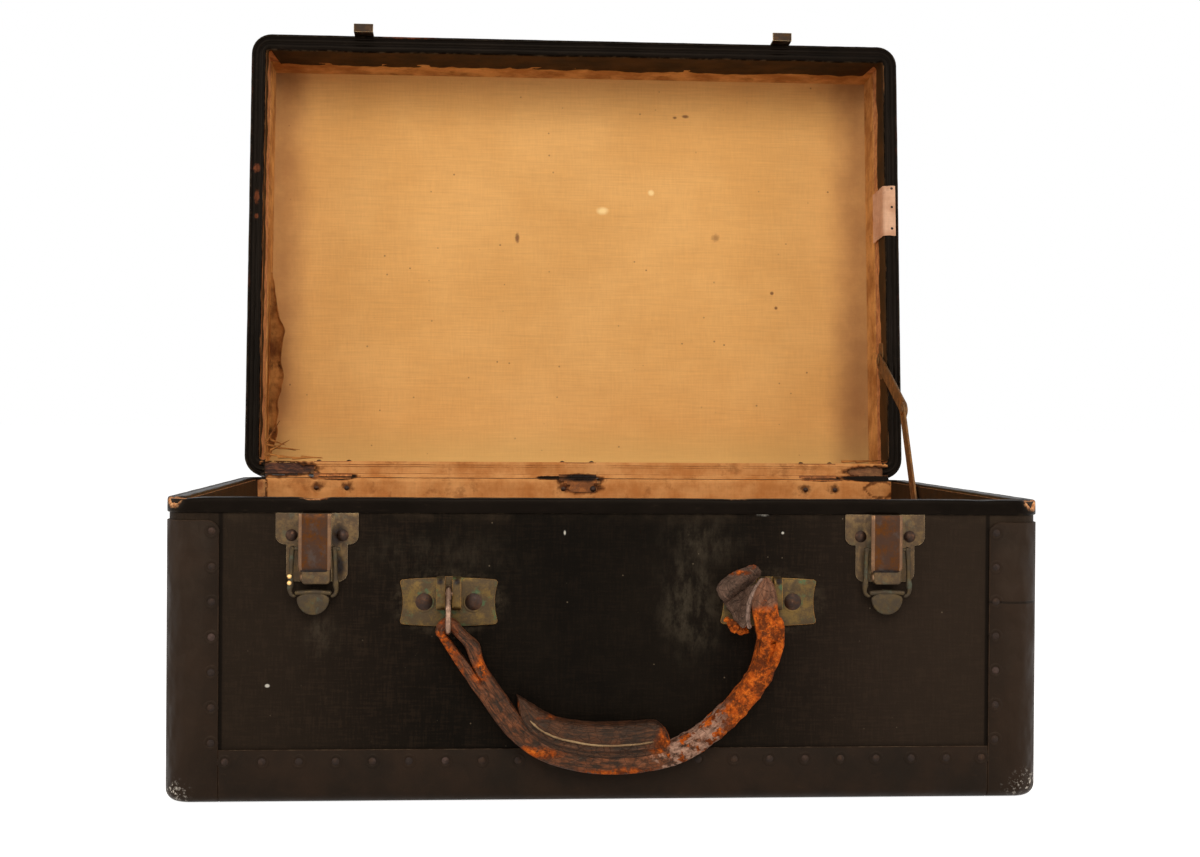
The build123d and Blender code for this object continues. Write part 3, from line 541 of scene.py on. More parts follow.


# %% [markdown]
# ## Linings
# The lid's panel is a fine unbleached linen on card, stained at its corners, with painted shade along its
# side and top edges and across its middle.
# Threads of uneven thickness give it fine streaks both ways, so two stretched noises cross,
# and a fine weave shows only when looked at closely.

# %% Linen of the lid's panel
def linen():
    """Streaky golden linen, with painted shade along its side and top edges broken up by stains, painted
    darker in the middle of its width, and with the specks and marks of the photo.
    """
    f = Finish("linen")
    across = f.clouds(1.1, 3, 0.6, stretch=(0.045, 1, 1))
    upright = f.clouds(1.2, 3, 0.6, stretch=(1, 1, 0.05))
    weave = f.threads(1.0, "X") * 0.5 + f.threads(1.0, "Z") * 0.5
    f.colour = f.mix((214, 157, 86), (224, 168, 97), f.clouds(70, 4, 0.6).between(0.3, 0.7))
    f.shade(0.76 + across * 0.26 + upright * 0.16 + weave * 0.03)
    x, z = f.along("X"), f.along("Z")
    # Painted shade: darker in the middle of the panel's width and lighter towards its sides.
    f.shade(0.955 + x.math("ABSOLUTE", 0).between(0.0, 0.17) * 0.08)
    # Painted shade cast by the walls on the panel's left, right and top edges, made patchy by stain clouds.
    left = x.between(-0.178, -0.214)
    right = x.between(0.176, 0.214)
    top = z.between(0.430, 0.462)
    low = z.between(0.20, 0.168)
    stain = f.clouds(26, 5, 0.65) * 0.8 + 0.35
    wall_shade_and_stain = (left.most(right).most(top * 0.6) * stain).between(0.05, 1.0)
    f.coat((152, 102, 56), wall_shade_and_stain * 0.8)
    f.coat((196, 160, 92), low * 0.5)
    brown = f.spots(((-214, 225, 456), (17, 60, 14), 0.9, 0.6, 9),
                    ((210, 225, 200), (14, 60, 60), 0.9, 0.7, 12, 0.6),
                    ((204, 225, 452), (22, 60, 10), 0.9, 0.7, 9, 0.6))
    f.coat((112, 68, 34), brown * 0.6)
    specks = f.cells(11, shift=(2, 5, 1)).between(0.085, 0.03) * f.clouds(30, 3).between(0.45, 0.6)
    f.coat((98, 62, 32), specks * 0.75)
    spots = f.spots(((58, 229, 366), (2.2, 60, 2.2), 0.4, 0.3),
                    ((22, 229, 352), (3.6, 60, 2.4), 0.6, 0.5))
    f.coat((246, 214, 150), spots * 0.8)
    marks = f.spots(((-41, 229, 331), (1.4, 60, 3.4), 0.5, 0.5, 2),
                    ((84, 229, 424), (2.4, 60, 1.2), 0.4, 0.5),
                    ((76, 229, 423), (1.6, 60, 1.0), 0.4, 0.5),
                    ((106, 229, 333), (2.2, 60, 2.4), 0.6, 0.8, 2, 0.6),
                    ((148, 229, 292), (1.2, 60, 1.2), 0.4, 0.4),
                    ((151, 229, 281), (1.2, 60, 1.2), 0.4, 0.4))
    f.coat((108, 62, 26), marks * 0.85)
    height = across * 0.45 + upright * 0.35 + weave * 0.2
    return f.finish(0.86, height, 0.25, 0.8, Sheen_Weight=0.15, Sheen_Roughness=0.5)


# %% [markdown]
# The other linings are thinner cloths pasted straight on the boards. They differ only in
# colour and in how stained they are, so one builder makes them all. The hinge cloth is the
# one that works each time the lid moves: it gets dark creases, frayed tears with darkened
# rims, slits painted black as painted shadow of the gaps behind them, which are read from
# the mesh, and rust round its rivets. The bare board has its own builder.

# %% Wall linings, hinge cloth and turned-in cover cloth
def plain_cloth(name, dark, light, stain, stains=0.5, roughness=0.85, creases=()):
    """Clouded cloth with stains; creases are places across the hinge cloth where it is darkened along a line,
    and the hinge cloth also gets darkened rims round its tears, slits painted black as painted shadow, and
    rust round its rivets.
    """
    f = Finish(name)
    across = f.clouds(1.3, 3, 0.6, stretch=(0.06, 0.06, 1))
    upright = f.clouds(1.3, 3, 0.6, stretch=(1, 1, 0.06))
    weave = f.threads(1.0, "X").most(f.threads(1.0, "Z"))
    f.colour = f.mix(dark, light, f.clouds(24, 5, 0.65).between(0.32, 0.7))
    f.shade(0.78 + across * 0.22 + upright * 0.2)
    patches = f.clouds(15, 6, 0.7, shift=(4, 9, 2)).between(0.54, 0.68)
    f.coat(stain, patches * stains)
    if creases:
        near = Value(f, f.node("ShaderNodeAttribute", {"attribute_name": "tear_rims_and_slit_shade"}).outputs["Fac"])
        # Darkened rims round the tears; values above 1.1 mark the slits, painted black as painted shadow of
        # the gaps behind them.
        f.coat((112, 58, 24), near.between(0.05, 0.6) * 0.7)
        f.coat((44, 22, 10), near.between(0.5, 1.0) * 0.9)
        f.coat((12, 7, 4), near.between(1.1, 1.7))
        for rivet in (-177.8, -157.2, -10, 10, 157.2, 177.8):
            stain_here = f.spot((rivet, 144.5, 150.6), (3.6, 9, 2.8), 0.6, 1.0, 3)
            f.coat((70, 32, 13), stain_here * 0.85)
    for place in creases:
        away = (f.across("Y") + (f.clouds(20, 4) - 0.5) * 0.02 - place).math("ABSOLUTE", 0)
        f.coat(stain, away.between(0.008, 0.002) * f.clouds(30, 5, 0.7).between(0.35, 0.6))
    height = across * 0.4 + upright * 0.3 + weave * 0.3
    return f.finish(roughness, height, 0.3, 0.8, Specular_IOR_Level=0.15, Specular_Tint=warm)


def bare_board():
    """Strawboard: brown-orange, layered and fibrous where it is torn."""
    f = Finish("board")
    fibres = f.clouds(1.5, 5, 0.7, stretch=(0.25, 1, 1))
    f.colour = f.mix((150, 88, 44), (212, 148, 88), f.clouds(6, 5, 0.7).between(0.3, 0.7))
    bare = f.spots(((-200, 156, 163), (26, 9, 7), 0.4, 0.3),
                   ((204, 156, 163), (24, 9, 7), 0.4, 0.3, 6, 0.7))
    f.coat(f.mix((48, 24, 13), (104, 60, 36), fibres.between(0.4, 0.66)), bare)
    f.shade(0.6 + fibres * 0.7)
    return f.finish(0.9, fibres, 0.6, 0.9)


# %% [markdown]
# ## Metals
# Brass plates have dulled to a greenish tan, with green in the corners and bright rims.
# The straps on the latches are a coppery alloy. Nails and rivets have rusted.
# One builder serves them all: a polished colour under clouds of tarnish, with patches of patina.
# Edges get a brighter finish of the same kind on the bevelled faces, partly where fingers have
# rubbed them and partly as painted highlight. Dark spots in some finishes are painted shade.

# %% Old metal
def old_metal(name, polished, tarnish, patina, cover=0.7, patina_share=0.3, gloss=0.34, grain=5, holes=()):
    """Polished metal under tarnish and patina, with spots of painted shade nearly black."""
    f = Finish(name)
    clouds = f.clouds(grain, 6, 0.65)
    fine = f.clouds(0.8, 4, 0.6)
    dull = (clouds * 0.75 + fine * 0.25).between(0.36, 0.58)
    f.colour = f.mix(polished, tarnish, dull * cover + (1 - cover) * 0.35)
    green = f.clouds(grain * 1.3, 5, 0.7, shift=(7, 3, 5)).between(0.54, 0.68)
    f.coat(patina, green * patina_share)
    # Painted shade: each spot is darkened nearly to black where a notch, gap or raised part shades the metal.
    for middle, half in holes:
        f.coat((24, 15, 10), f.spot(middle, half, 0.4, 0.3))
    metal = 0.92 - dull * 0.35 - green * (0.6 * patina_share)
    rough = gloss + dull * 0.28 + fine * 0.08
    return f.finish(rough, fine * 0.5 + clouds * 0.5, 0.22, 0.6, metal=metal.between(0.0, 1.0))


# %% [markdown]
# ## Leather
# The handle was russet leather, now nearly black where it is gripped and rubbed to an orange
# suede at its right end. The wear follows the handle, so it is placed along the case's width.

# %% Leather
def leather(name, length, girth, base=(28, 15, 8), light=(108, 60, 34), painted_sheen=(112, 74, 54),
            rust_from=0.056, spots=(), painted_sheen_share=0.4, upper=None, patchy=True):
    """Leather on a grid this long and this far round in mm; it turns to suede right of rust_from."""
    f = Finish(name)
    blotchy = 1.0 if patchy else 0.0
    fibres = f.streaks(length, girth)
    broad = f.streaks(length, girth, 30, 3.2, 7.0)
    clouds = f.clouds(11, 6, 0.65)
    flakes = f.clouds(4, 6, 0.72, shift=(1, 2, 3))
    creases = f.cells(4.5, feature="DISTANCE_TO_EDGE").between(0.0, 0.10)
    f.colour = f.mix(base, light, (fibres * 0.6 + clouds * 0.4).between(0.42, 0.62))
    # Painted sheen: lighter pinkish streaks laid over the leather as highlights.
    f.coat(painted_sheen, (fibres * 0.5 + broad * 0.5).between(0.50, 0.62) * painted_sheen_share)
    f.shade(0.72 + creases * 0.36)
    x = f.along("X")
    ragged = (flakes - 0.5) * 0.05
    pale = (x + ragged).between(0.026, 0.034) * (x + ragged).between(rust_from + 0.008, rust_from) * blotchy
    pale_colour = f.mix((112, 82, 68), (182, 142, 120), (fibres * 0.5 + flakes * 0.5).between(0.42, 0.62))
    f.coat(pale_colour, pale * flakes.between(0.40, 0.50) * 0.85)
    suede = (x + ragged * 0.6).between(rust_from - 0.002, rust_from + 0.008)
    patches = x.between(0.022, 0.030) * f.clouds(7, 4, 0.6, shift=(4, 4, 4)).between(0.53, 0.58)
    suede = suede.most(patches * blotchy) * (0.86 + flakes.between(0.36, 0.46) * 0.14)
    if upper:
        suede = suede * (f.along("Z") + ragged * 0.1).between(upper + 0.004, upper)
    for middle, half in spots:
        suede = suede.most(f.spot(middle, half, 0.5, 0.8, 4) * flakes.between(0.38, 0.52))
    dark = f.clouds(7, 6, 0.78, shift=(5, 1, 9)).between(0.44, 0.57)
    suede_colour = f.mix((160, 68, 12), (216, 108, 30), f.clouds(2, 5, 0.7).between(0.4, 0.7))
    suede_colour = f.mix(suede_colour, (62, 26, 9), dark * 0.85)
    f.coat(suede_colour, suede)
    rough = 0.42 + suede * 0.40 + clouds * 0.12 + pale * 0.2
    height = creases * 0.3 + fibres * 0.5 + flakes * (0.3 + suede * 0.6)
    return f.finish(rough, height, 0.9, 0.9, Specular_IOR_Level=0.24, Specular_Tint=warm)


# %% [markdown]
# ## One finish for each kind of surface
# The real case has about a dozen materials, and each has aged in more than one way: brass is
# bright where fingers rub it and brown elsewhere. A finish is made once with its own colours,
# written as seen on a screen, and the pieces share it. Dark spots in the metals are painted
# shade: in the handle plates' notches, beside the left latch's raised spring, under the
# springs' tucked feet and in the gap above the middle hinge.

# %% Make the finishes
cover_finish = cover_cloth()
binding_finish = chipped_fibre()
rim_finish = fibre("rim_fibre", (5, 3, 2), (15, 10, 7), (96, 80, 62), 0.26)
fibre_edge = fibre("fibre_edge", (30, 21, 15), (66, 50, 38), (96, 80, 62), 0.36)
linen_finish = linen()
wall_linen_finish = plain_cloth("wall_linen", (160, 105, 55), (214, 157, 91), (108, 64, 30))
curl_finish = plain_cloth("curl_linen", (98, 52, 22), (192, 128, 66), (46, 22, 9), 0.95)
turn_in_finish = plain_cloth("turn_in", (36, 21, 7), (64, 39, 14), (24, 14, 6), roughness=0.75)
base_turn_in_finish = plain_cloth("base_turn_in", (25, 14, 5), (46, 27, 10), (17, 10, 4), roughness=0.75)
hinge_cloth_finish = plain_cloth("hinge_cloth", (178, 112, 58), (208, 148, 90), (116, 62, 28), 0.45,
                                 creases=(0.575, 0.70, 0.735))
patch_finish = plain_cloth("patch", (186, 136, 104), (214, 170, 140), (130, 84, 58), 0.35)
board_finish = bare_board()
# Painted shadow on the left latch plate, to the right of its raised spring.
brass_finish = old_metal("plate_brass", (100, 80, 54), (60, 44, 29), (58, 60, 36), 0.7, 0.5,
                         holes=[((-140.4, -160, 137), (4.6, 9, 6.5)), ((-139, -160, 122), (3, 9, 7))])
# The brighter edge finishes of the metals are partly worn metal and partly painted highlight on the bevels.
brass_edge = old_metal("plate_brass_edge", (226, 200, 156), (140, 114, 80), (96, 96, 60), 0.4, 0.4, 0.28)
loop_finish = old_metal("loop_brass", (78, 64, 43), (48, 37, 24), (44, 54, 32), 0.65, 0.7)
boss_finish = old_metal("boss_brass", (150, 118, 88), (96, 70, 50), (76, 66, 44), 0.5, 0.4)
loop_edge = old_metal("loop_brass_edge", (214, 186, 142), (132, 108, 76), (84, 94, 60), 0.45, 0.4, 0.26)
catch_finish = old_metal("catch_brass", (66, 46, 27), (36, 24, 14), (40, 34, 20), 0.7, 0.4)
# Painted shade inside the two notches at the top of each handle plate's saddle.
notch_shade = [((x, -158, 114.4), (1.7, 9, 1.8)) for x in (-87.2, -78.8, 78.8, 87.2)]
handle_brass_finish = old_metal("handle_brass", (104, 82, 46), (50, 37, 23), (40, 70, 28), 0.6, 0.9,
                                grain=7, holes=notch_shade)
handle_edge = old_metal("handle_brass_edge", (206, 140, 60), (140, 100, 44), (84, 124, 46), 0.45, 0.7)
ring_finish = old_metal("ring_steel", (176, 142, 118), (92, 66, 52), (84, 54, 40), 0.5, 0.3, 0.2, 3)
# Painted shade under the tucked foot of each latch spring.
strap_foot_shade = [((x, -162, 119.0), (9.4, 9, 1.9)) for x in (-151.1, 143.9)]
spring_finish = old_metal("spring_copper", (84, 48, 18), (44, 24, 9), (40, 25, 11), 0.7, 0.5, 0.30, 7,
                          holes=strap_foot_shade)
spring_edge = old_metal("spring_copper_edge", (126, 94, 68), (86, 60, 40), (60, 42, 28), 0.5, 0.3, 0.3)
rivet_finish = old_metal("rivet_steel", (72, 50, 37), (36, 23, 16), (56, 30, 18), 0.8, 0.4, 0.32)
bead_finish = old_metal("bead_brass", (255, 214, 146), (222, 170, 100), (170, 130, 70), 0.2, 0.1, 0.2)
tack_finish = old_metal("tack_steel", (56, 41, 31), (35, 24, 18), (62, 35, 22), 0.9, 0.6, 0.46, 12)
# Painted shade in the gap above the middle hinge's knuckles.
hinge_finish = old_metal("hinge_steel", (176, 112, 62), (104, 62, 34), (70, 38, 20), 0.6, 0.5, 0.5,
                         holes=[((2, 150, 157.4), (16, 16, 2.9))])
stay_finish = old_metal("stay_brass", (130, 92, 54), (82, 55, 31), (62, 50, 31), 0.7, 0.3)
stay_edge = old_metal("stay_brass_edge", (190, 146, 92), (120, 86, 50), (80, 60, 36), 0.5, 0.3)
eye_rust = [((-86, -165, 82), (7, 30, 14)), ((-66, -165, 70), (4, 30, 7)), ((-80, -165, 64), (4, 30, 12)),
            ((6, -165, 16), (30, 30, 3.4)), ((-42, -165, 28), (14, 30, 3))]
grip_rust = [((29, -172, 31), (7, 14, 8)), ((-50, -168, 52), (3, 12, 3)), ((0, -168, 46), (30, 12, 1.2))]
torn_rust = [((73.4, -168, 123.4), (3, 12, 2.0)), ((64, -168, 119.5), (7, 12, 1.2))]
tongue_rust = [((78, -170, 104), (1.6, 12, 2.4)), ((84, -170, 102), (2.0, 12, 2.0))]
leather_finish = leather("leather", 520, 34, spots=eye_rust)
strap_cover_finish = leather("leather_cover", 220, 38, spots=eye_rust[2:])
grip_finish = leather("grip_leather", 96, 60, (26, 14, 8), (72, 40, 22), (102, 65, 42), rust_from=0.2,
                      patchy=False, spots=grip_rust)
wrap_finish = leather("torn_leather", 50, 20, (45, 30, 23), (88, 65, 53), (112, 84, 69), rust_from=0.2,
                      patchy=False, spots=torn_rust, painted_sheen_share=0.5)
tongue_finish = leather("tongue_leather", 34, 30, (72, 44, 31), (118, 76, 54), (134, 98, 76),
                        rust_from=0.05, patchy=False, spots=tongue_rust, upper=0.100)
orange_finish = leather("orange_leather", 20, 20, rust_from=0.0)
rim_leather_finish = leather("pale_leather", 30, 6, (84, 64, 56), (140, 114, 100), (160, 134, 120),
                             rust_from=0.2, patchy=False)
thread_finish = plain_cloth("thread", (118, 92, 66), (164, 136, 100), (70, 48, 32), 0.4)
print("finishes:", len(bpy.data.materials))

# %% [markdown]
# ## Nodes that keep their shape
# Boards, flat cloth, linings and small heads are already right as solids, so they are only
# painted: each gets one finish in place of its own slots.

# %% Paint the CAD nodes that keep their shape
sides = ("front", "back", "left", "right")
painted(board_finish, *(f"{part}_{side}_board" for part in ("base", "lid") for side in sides),
        "base_bottom_board", "lid_panel_board")
painted(cover_finish, "base_cover", "lid_cover", "underside_sheet")
painted(linen_finish, "base_lining_floor")
painted(wall_linen_finish, "base_lining_walls", "lid_lining_walls")
painted(tack_finish, "base_tacks", "lid_tacks")
painted(rivet_finish, "latch_rivets", "handle_rivets", "catch_rivets", "hinge_base_rivets",
        "hinge_lid_rivets")
painted(hinge_finish, "hinge_base_leaves", "hinge_lid_leaves", "hinge_pins")
painted(loop_finish, "latch_pins")
painted(ring_finish, "handle_ring_left", "handle_ring_right", "handle_pins")

# %% [markdown]
# ## Places on the lid
# The lid leans back a little past upright. Its pieces are written in the lid's own measures:
# x across, t behind the rim and s up from the hinge line, in mm. One matrix turns these into
# places in the room, and its angle comes from the range of the hinge itself.

# %% Lid measures and walks round a rounded rectangle
hinge = next(joint for joint in frame["joints"] if joint["name"] == "lid_hinge")
past_upright = hinge["range_deg"][1] - 90
to_lid = Matrix.Translation(hinge["pos_m"]) @ Matrix.Rotation(radians(-past_upright), 4, "X")
print("the lid leans", round(past_upright, 1), "degrees past upright")


def on_lid(x, t, s):
    """The place in the room of a point given in the lid's measures."""
    return to_lid @ Vector((x * mm, t * mm, s * mm))


def in_room(x, y, z):
    """A place in the room from millimetres."""
    return Vector((x, y, z)) * mm


def reach_of(node, axis, lowest=False):
    """How far a CAD node reaches along an axis, 0 to 2 for x to z, in mm."""
    return round(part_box(node)[0 if lowest else 1][axis] / mm, 1)


def middle_of(node, axis=0):
    """The middle of a CAD node along an axis, in mm."""
    low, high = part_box(node)
    return round((low[axis] + high[axis]) / 2 / mm, 1)


half_width, half_depth, rim_z = (reach_of("base_rim_strip", axis) for axis in range(3))
front_y = reach_of("base_cover", 1, lowest=True)
corner, lining_thick = 14.0, 0.7
inner_x = reach_of("base_lining_walls", 0) - lining_thick
print("rim", half_width, half_depth, rim_z, "front wall", front_y, "inside", round(inner_x, 1))


def walk_round(half_x, half_y, radius, step, turns=8):
    """Points and outward directions round a rectangle with round corners, anticlockwise, in mm."""
    stops = []
    for side_x, side_y, first in ((1, -1, -90), (1, 1, 0), (-1, 1, 90), (-1, -1, 180)):
        centre = Vector((side_x * (half_x - radius), side_y * (half_y - radius)))
        for turn in range(turns + 1):
            angle = radians(first + 90 * turn / turns)
            out = Vector((cos(angle), sin(angle)))
            stops.append((centre + out * radius, out))
    stops.append(stops[0])
    walk = []
    for (near, out), (far, next_out) in zip(stops, stops[1:]):
        parts = max(1, round((far - near).length / step))
        walk += [(near.lerp(far, i / parts), out.lerp(next_out, i / parts).normalized())
                 for i in range(parts)]
    return walk + [stops[0]]


def pick(items, share):
    """The item at a share, 0 to 1, of a list."""
    return items[round(share * (len(items) - 1))]


def along_section(section, share):
    """A point on a list of section points, by its number."""
    place = share * (len(section) - 1)
    index = min(int(place), len(section) - 2)
    part = place - index
    return [a + (b - a) * part for a, b in zip(section[index], section[index + 1])]


# %% [markdown]
# ## The rims
# A pressed strip of blackened fibre covers the edge of each half. On the lid it shows three
# low ridges, and its inner edge is a little wavy. It could be a swept profile, but then every
# millimetre would be the same; here a grid is laid along the rounded outline, section by section,
# so that noise can dent it, and a solidify modifier gives the sheet its thickness.

# %% Rim band of the lid
walk_step = 5.0
base_walk = walk_round(half_width, half_depth, corner, walk_step)
hinge_side = round(2 * (half_width - corner) / walk_step)
lid_walk = base_walk[:-hinge_side]
band_section = [(0.05, 8.3), (0.0, 5.0), (0.0, 1.9), (0.25, 1.0), (0.9, 0.45), (1.9, 0.4), (2.4, 1.0),
                (3.0, 1.1), (3.6, 0.5), (4.6, 0.3), (5.6, 0.5), (6.2, 1.1), (6.8, 1.1), (7.4, 0.5),
                (8.4, 0.3), (9.4, 0.4), (10.4, 0.7), (11.3, 1.2), (11.7, 2.4)]


def rim_band(u, v):
    """A point of the lid's band: u runs round the rim, v from the outside over it to the inside."""
    point, out = pick(lid_walk, u)
    inset, t = along_section(band_section, v)
    spot = (point.x, point.y, inset)
    inset += v * v * (0.5 * rough(spot, 23, 3) + 0.25 * rough(spot, 6, 5))
    inset *= 1 - 0.17 * abs(out.x)
    if v < 0.25:
        inset += 0.16 * abs(rough(spot, 9, 2))
    t += 0.16 * rough(spot, 14, 1) + 0.10 * rough(spot, 4, 4)
    place = point - out * inset
    return on_lid(place.x, max(t, 0.12), place.y + half_depth)


band = shaped("lid_rim_band_ridged", len(lid_walk) - 1, len(band_section) - 1, rim_band)
thickened(band, 0.6)
done(band, "lid", "rim_fibre", rim_finish, ["lid_rim_band"], 50)

# %% [markdown]
# The base's rim has the same kind of strip, smooth and flat on top. Its corners and the places
# where the latches and hands have knocked it are worn down to the board, so single hollows are
# subtracted from the section there, each with a place, a width and a depth.

# %% Rim strip of the base, with worn corners
strip_section = [(0.4, 148.9), (0.05, 149.2), (0.0, 152.0), (0.0, 155.7), (0.25, 156.4), (0.9, 156.85),
                 (2.2, 156.9), (2.9, 156.5), (3.6, 156.5), (4.3, 156.9), (6.4, 157.0), (8.4, 156.9),
                 (9.3, 156.5), (9.6, 155.5)]
worn_places = [(-225, -151, 5.0, 3.4), (225, -151, 5.0, 3.4), (-152, -155, 5.5, 1.3), (-80, -155, 4, 0.5),
               (64, -155, 9, 0.5), (-218, -155, 7, 1.1), (196, -155, 6, 0.6)]


def rim_strip(u, v):
    """A point of the base's strip: u runs round the rim, v from the outside over it to the inside."""
    point, out = pick(base_walk, u)
    inset, z = along_section(strip_section, v)
    spot = (point.x, point.y, inset)
    worn = sum(depth * exp(-((point.x - x) ** 2 + (point.y - y) ** 2) / width ** 2)
               for x, y, width, depth in worn_places)
    worn *= 0.75 + 0.5 * rough(spot, 3, 8)
    high = min(1, max(0, (z - 151) / 5))
    z -= worn * high
    inset += worn * high * (0.45 if inset < 4 else 0.1) + 0.14 * abs(rough(spot, 9, 2))
    z += high * (0.12 * rough(spot, 15, 1) + 0.07 * rough(spot, 4, 4)) - 0.1 * high
    place = point - out * inset
    return in_room(place.x, place.y, min(z, rim_z))


strip = shaped("base_rim_strip_worn", len(base_walk) - 1, 2 * (len(strip_section) - 1), rim_strip)
tidy_mesh(strip)
thickened(strip, 0.6)
done(strip, "base", "rim_fibre", rim_finish, ["base_rim_strip"], 50)

# %% [markdown]
# ## Turned-in cover cloth
# The cover cloth is folded over the rim and pasted to the inside walls, and its cut edge is
# far from straight. A thin strip follows three walls; how far down it reaches is a sum of
# smooth noises, and the edge lifts a little where the paste has let go.

# %% Turn-ins of the lid and the base
lid_wall_s, base_wall_y, side_wall_x = 145.3, 144.9, 214


def inner_walk(half_y):
    """Three inside walls, from the hinge side's right corner round to its left one."""
    radius, step, turns = 3.0, 3.0, 5
    walk = walk_round(inner_x, half_y, radius, step, turns)
    hinge_side = round(2 * (inner_x - radius) / step)
    return walk[turns:-(hinge_side + turns)]


def turn_in_depth(point, lid):
    """How far the cloth reaches below the rim at a point of the walk, in mm."""
    spot = (point.x, point.y, 0)
    wave = 3.2 * rough(spot, 46, 1) + 1.6 * rough(spot, 14, 2) + 0.7 * rough(spot, 4, 3)
    if not lid:
        return 33.0 + wave
    if point.x > side_wall_x:
        return 18.0 + 2.0 * wave
    if point.x < -side_wall_x:
        return 4.5 + 0.5 * wave
    return 38.5 + 1.2 * wave


def turn_in(lid):
    """The strip of cloth inside one half, pasted to its walls under the rim."""
    walk = inner_walk(lid_wall_s if lid else base_wall_y)

    def place(u, v):
        point, out = pick(walk, u)
        depth = 1.0 + v * turn_in_depth(point, lid)
        spot = (point.x, point.y, depth)
        lift = 0.55 + 0.30 * rough(spot, 11, 6) + v ** 4 * (0.5 + 0.9 * rough(spot, 8, 9))
        here = point - out * (0.3 if lid and point.x > side_wall_x else max(lift, 0.3))
        if lid:
            return on_lid(here.x, depth + 0.3, here.y + 155.3)
        return in_room(here.x, -here.y, 156.2 - depth)

    name = "lid_turn_in_wavy" if lid else "base_turn_in_wavy"
    strip = shaped(name, len(walk) - 1, 9, place)
    thickened(strip, 0.45)
    return strip


lid_turn = done(turn_in(True), "lid", "turn_in", turn_in_finish, ["lid_turn_in"], 60)
base_turn = done(turn_in(False), "base", "turn_in", base_turn_in_finish, ["base_turn_in"], 60)

# %% [markdown]
# ## The linen panel
# The lining is pasted on card and bent up at its edges, where it meets the walls in a shallow
# hollow. It has moved with damp, so it is not quite flat. The grid is fine enough to carry
# the long, low waves that catch the light, and the finish adds the weave.

# %% Lining panel
panel_x, panel_low, panel_width, panel_height = -218.6, 9.8, 437.2, 290.6


def lining(u, v):
    """A point of the panel, which bends up within a few mm of its edges."""
    x, s = panel_x + panel_width * u, panel_low + panel_height * v
    edge = min(x - panel_x, panel_x + panel_width - x, s - panel_low, panel_low + panel_height - s)
    curl = 3.4 * exp(-edge / 3.2)
    spot = (x, s, 0)
    wave = 0.35 * rough(spot, 70, 1) + 0.22 * rough(spot, 24, 2)
    wave += 0.5 * exp(-abs(edge - 8) / 4) * rough(spot, 16, 3)
    return on_lid(x, 66.2 - curl - wave, s)


panel = shaped("lid_lining_panel_pasted", 146, 98, lining)
thickened(panel, 0.5)
done(panel, "lid", "linen", linen_finish, ["lid_lining_panel"], 60)

# %% [markdown]
# ## Hinge cloth
# A strip of the same paste-and-cloth work runs from the base's back wall over the hinges into
# the lid. It bends each time the lid moves, so it is one piece across the hinge line, and it
# rides on neither body. It is torn at all three hinges, and those holes are cut from the grid
# along ragged outlines, so that the knuckles and the boards show through.

# %% Hinge cloth with its tears
fold = [(144.5, 134.0), (144.4, 144.0), (144.2, 150.0), (144.2, 154.6), (145.2, 156.2), (148.5, 156.4),
        (152.4, 156.6)]
lid_fold = [(0.3, 2.4), (0.3, 5.5), (0.35, 8.8), (1.3, 10.3), (9.0, 10.7), (22.0, 10.8)]


def fold_point(x, v):
    """A point of the cloth; v runs from the base wall's lower edge to the lid wall's edge."""
    count = len(fold) + len(lid_fold)
    place = v * (count - 1)
    index = min(int(place), count - 2)
    ends = []
    for number in (index, index + 1):
        if number < len(fold):
            ends.append(in_room(x, *fold[number]))
        else:
            t, s = lid_fold[number - len(fold)]
            ends.append(on_lid(x, t, s))
    return ends[0].lerp(ends[1], place - index)


def hinge_cloth(u, v):
    """A point of the puckered cloth; u runs from the left wall to the right one."""
    x = -218.0 + 436.0 * u
    point = fold_point(x, v)
    spot = (x, v * 60, 0)
    pucker = 0.22 * rough(spot, 16, 1) + 0.14 * rough(spot, 5, 2)
    flat = 1 if v < 0.26 or v > 0.78 else 0.4
    point.y -= (pucker + 0.15) * flat * mm
    if 0.45 < v < 0.62:
        point.z -= 0.5 * mm * abs(rough(spot, 20, 4))
    if v == 0:
        point.z -= 1.2 * rough(spot, 12, 7) * mm
    if v == 1:
        point.y += 2.0 * rough(spot, 18, 7) * mm
    return point


tears = [(1.5, 155.6, 13.5, 3.4), (3, 150.6, 11, 3.4), (-180.5, 158.6, 3.6, 2.4), (-203, 162.4, 22, 4.6),
         (207, 162.2, 17, 3.4), (-216, 150, 4, 12)]
# The slits are not cut: they are painted black on the cloth as painted shadow of the gaps behind them.
slits = [(-17, 156.9, 10, 1.0), (-164, 157.1, 12, 1.7), (171, 157.1, 12, 1.5), (204, 157.6, 18, 2.0)]
hollow = [(210, 150, 9.5, 5.0)]


def tear_reach(point, holes):
    """Below 1 inside one of these holes, and growing with the distance from it."""
    x, z = point.x / mm, point.z / mm
    ragged = 1 + 0.38 * rough((x, z, 0), 4.0, 5) + 0.25 * rough((x, z, 0), 1.6, 8)
    return min(((x - centre_x) / half_x) ** 2 + ((z - centre_z) / half_z) ** 2
               for centre_x, centre_z, half_x, half_z in holes) / ragged


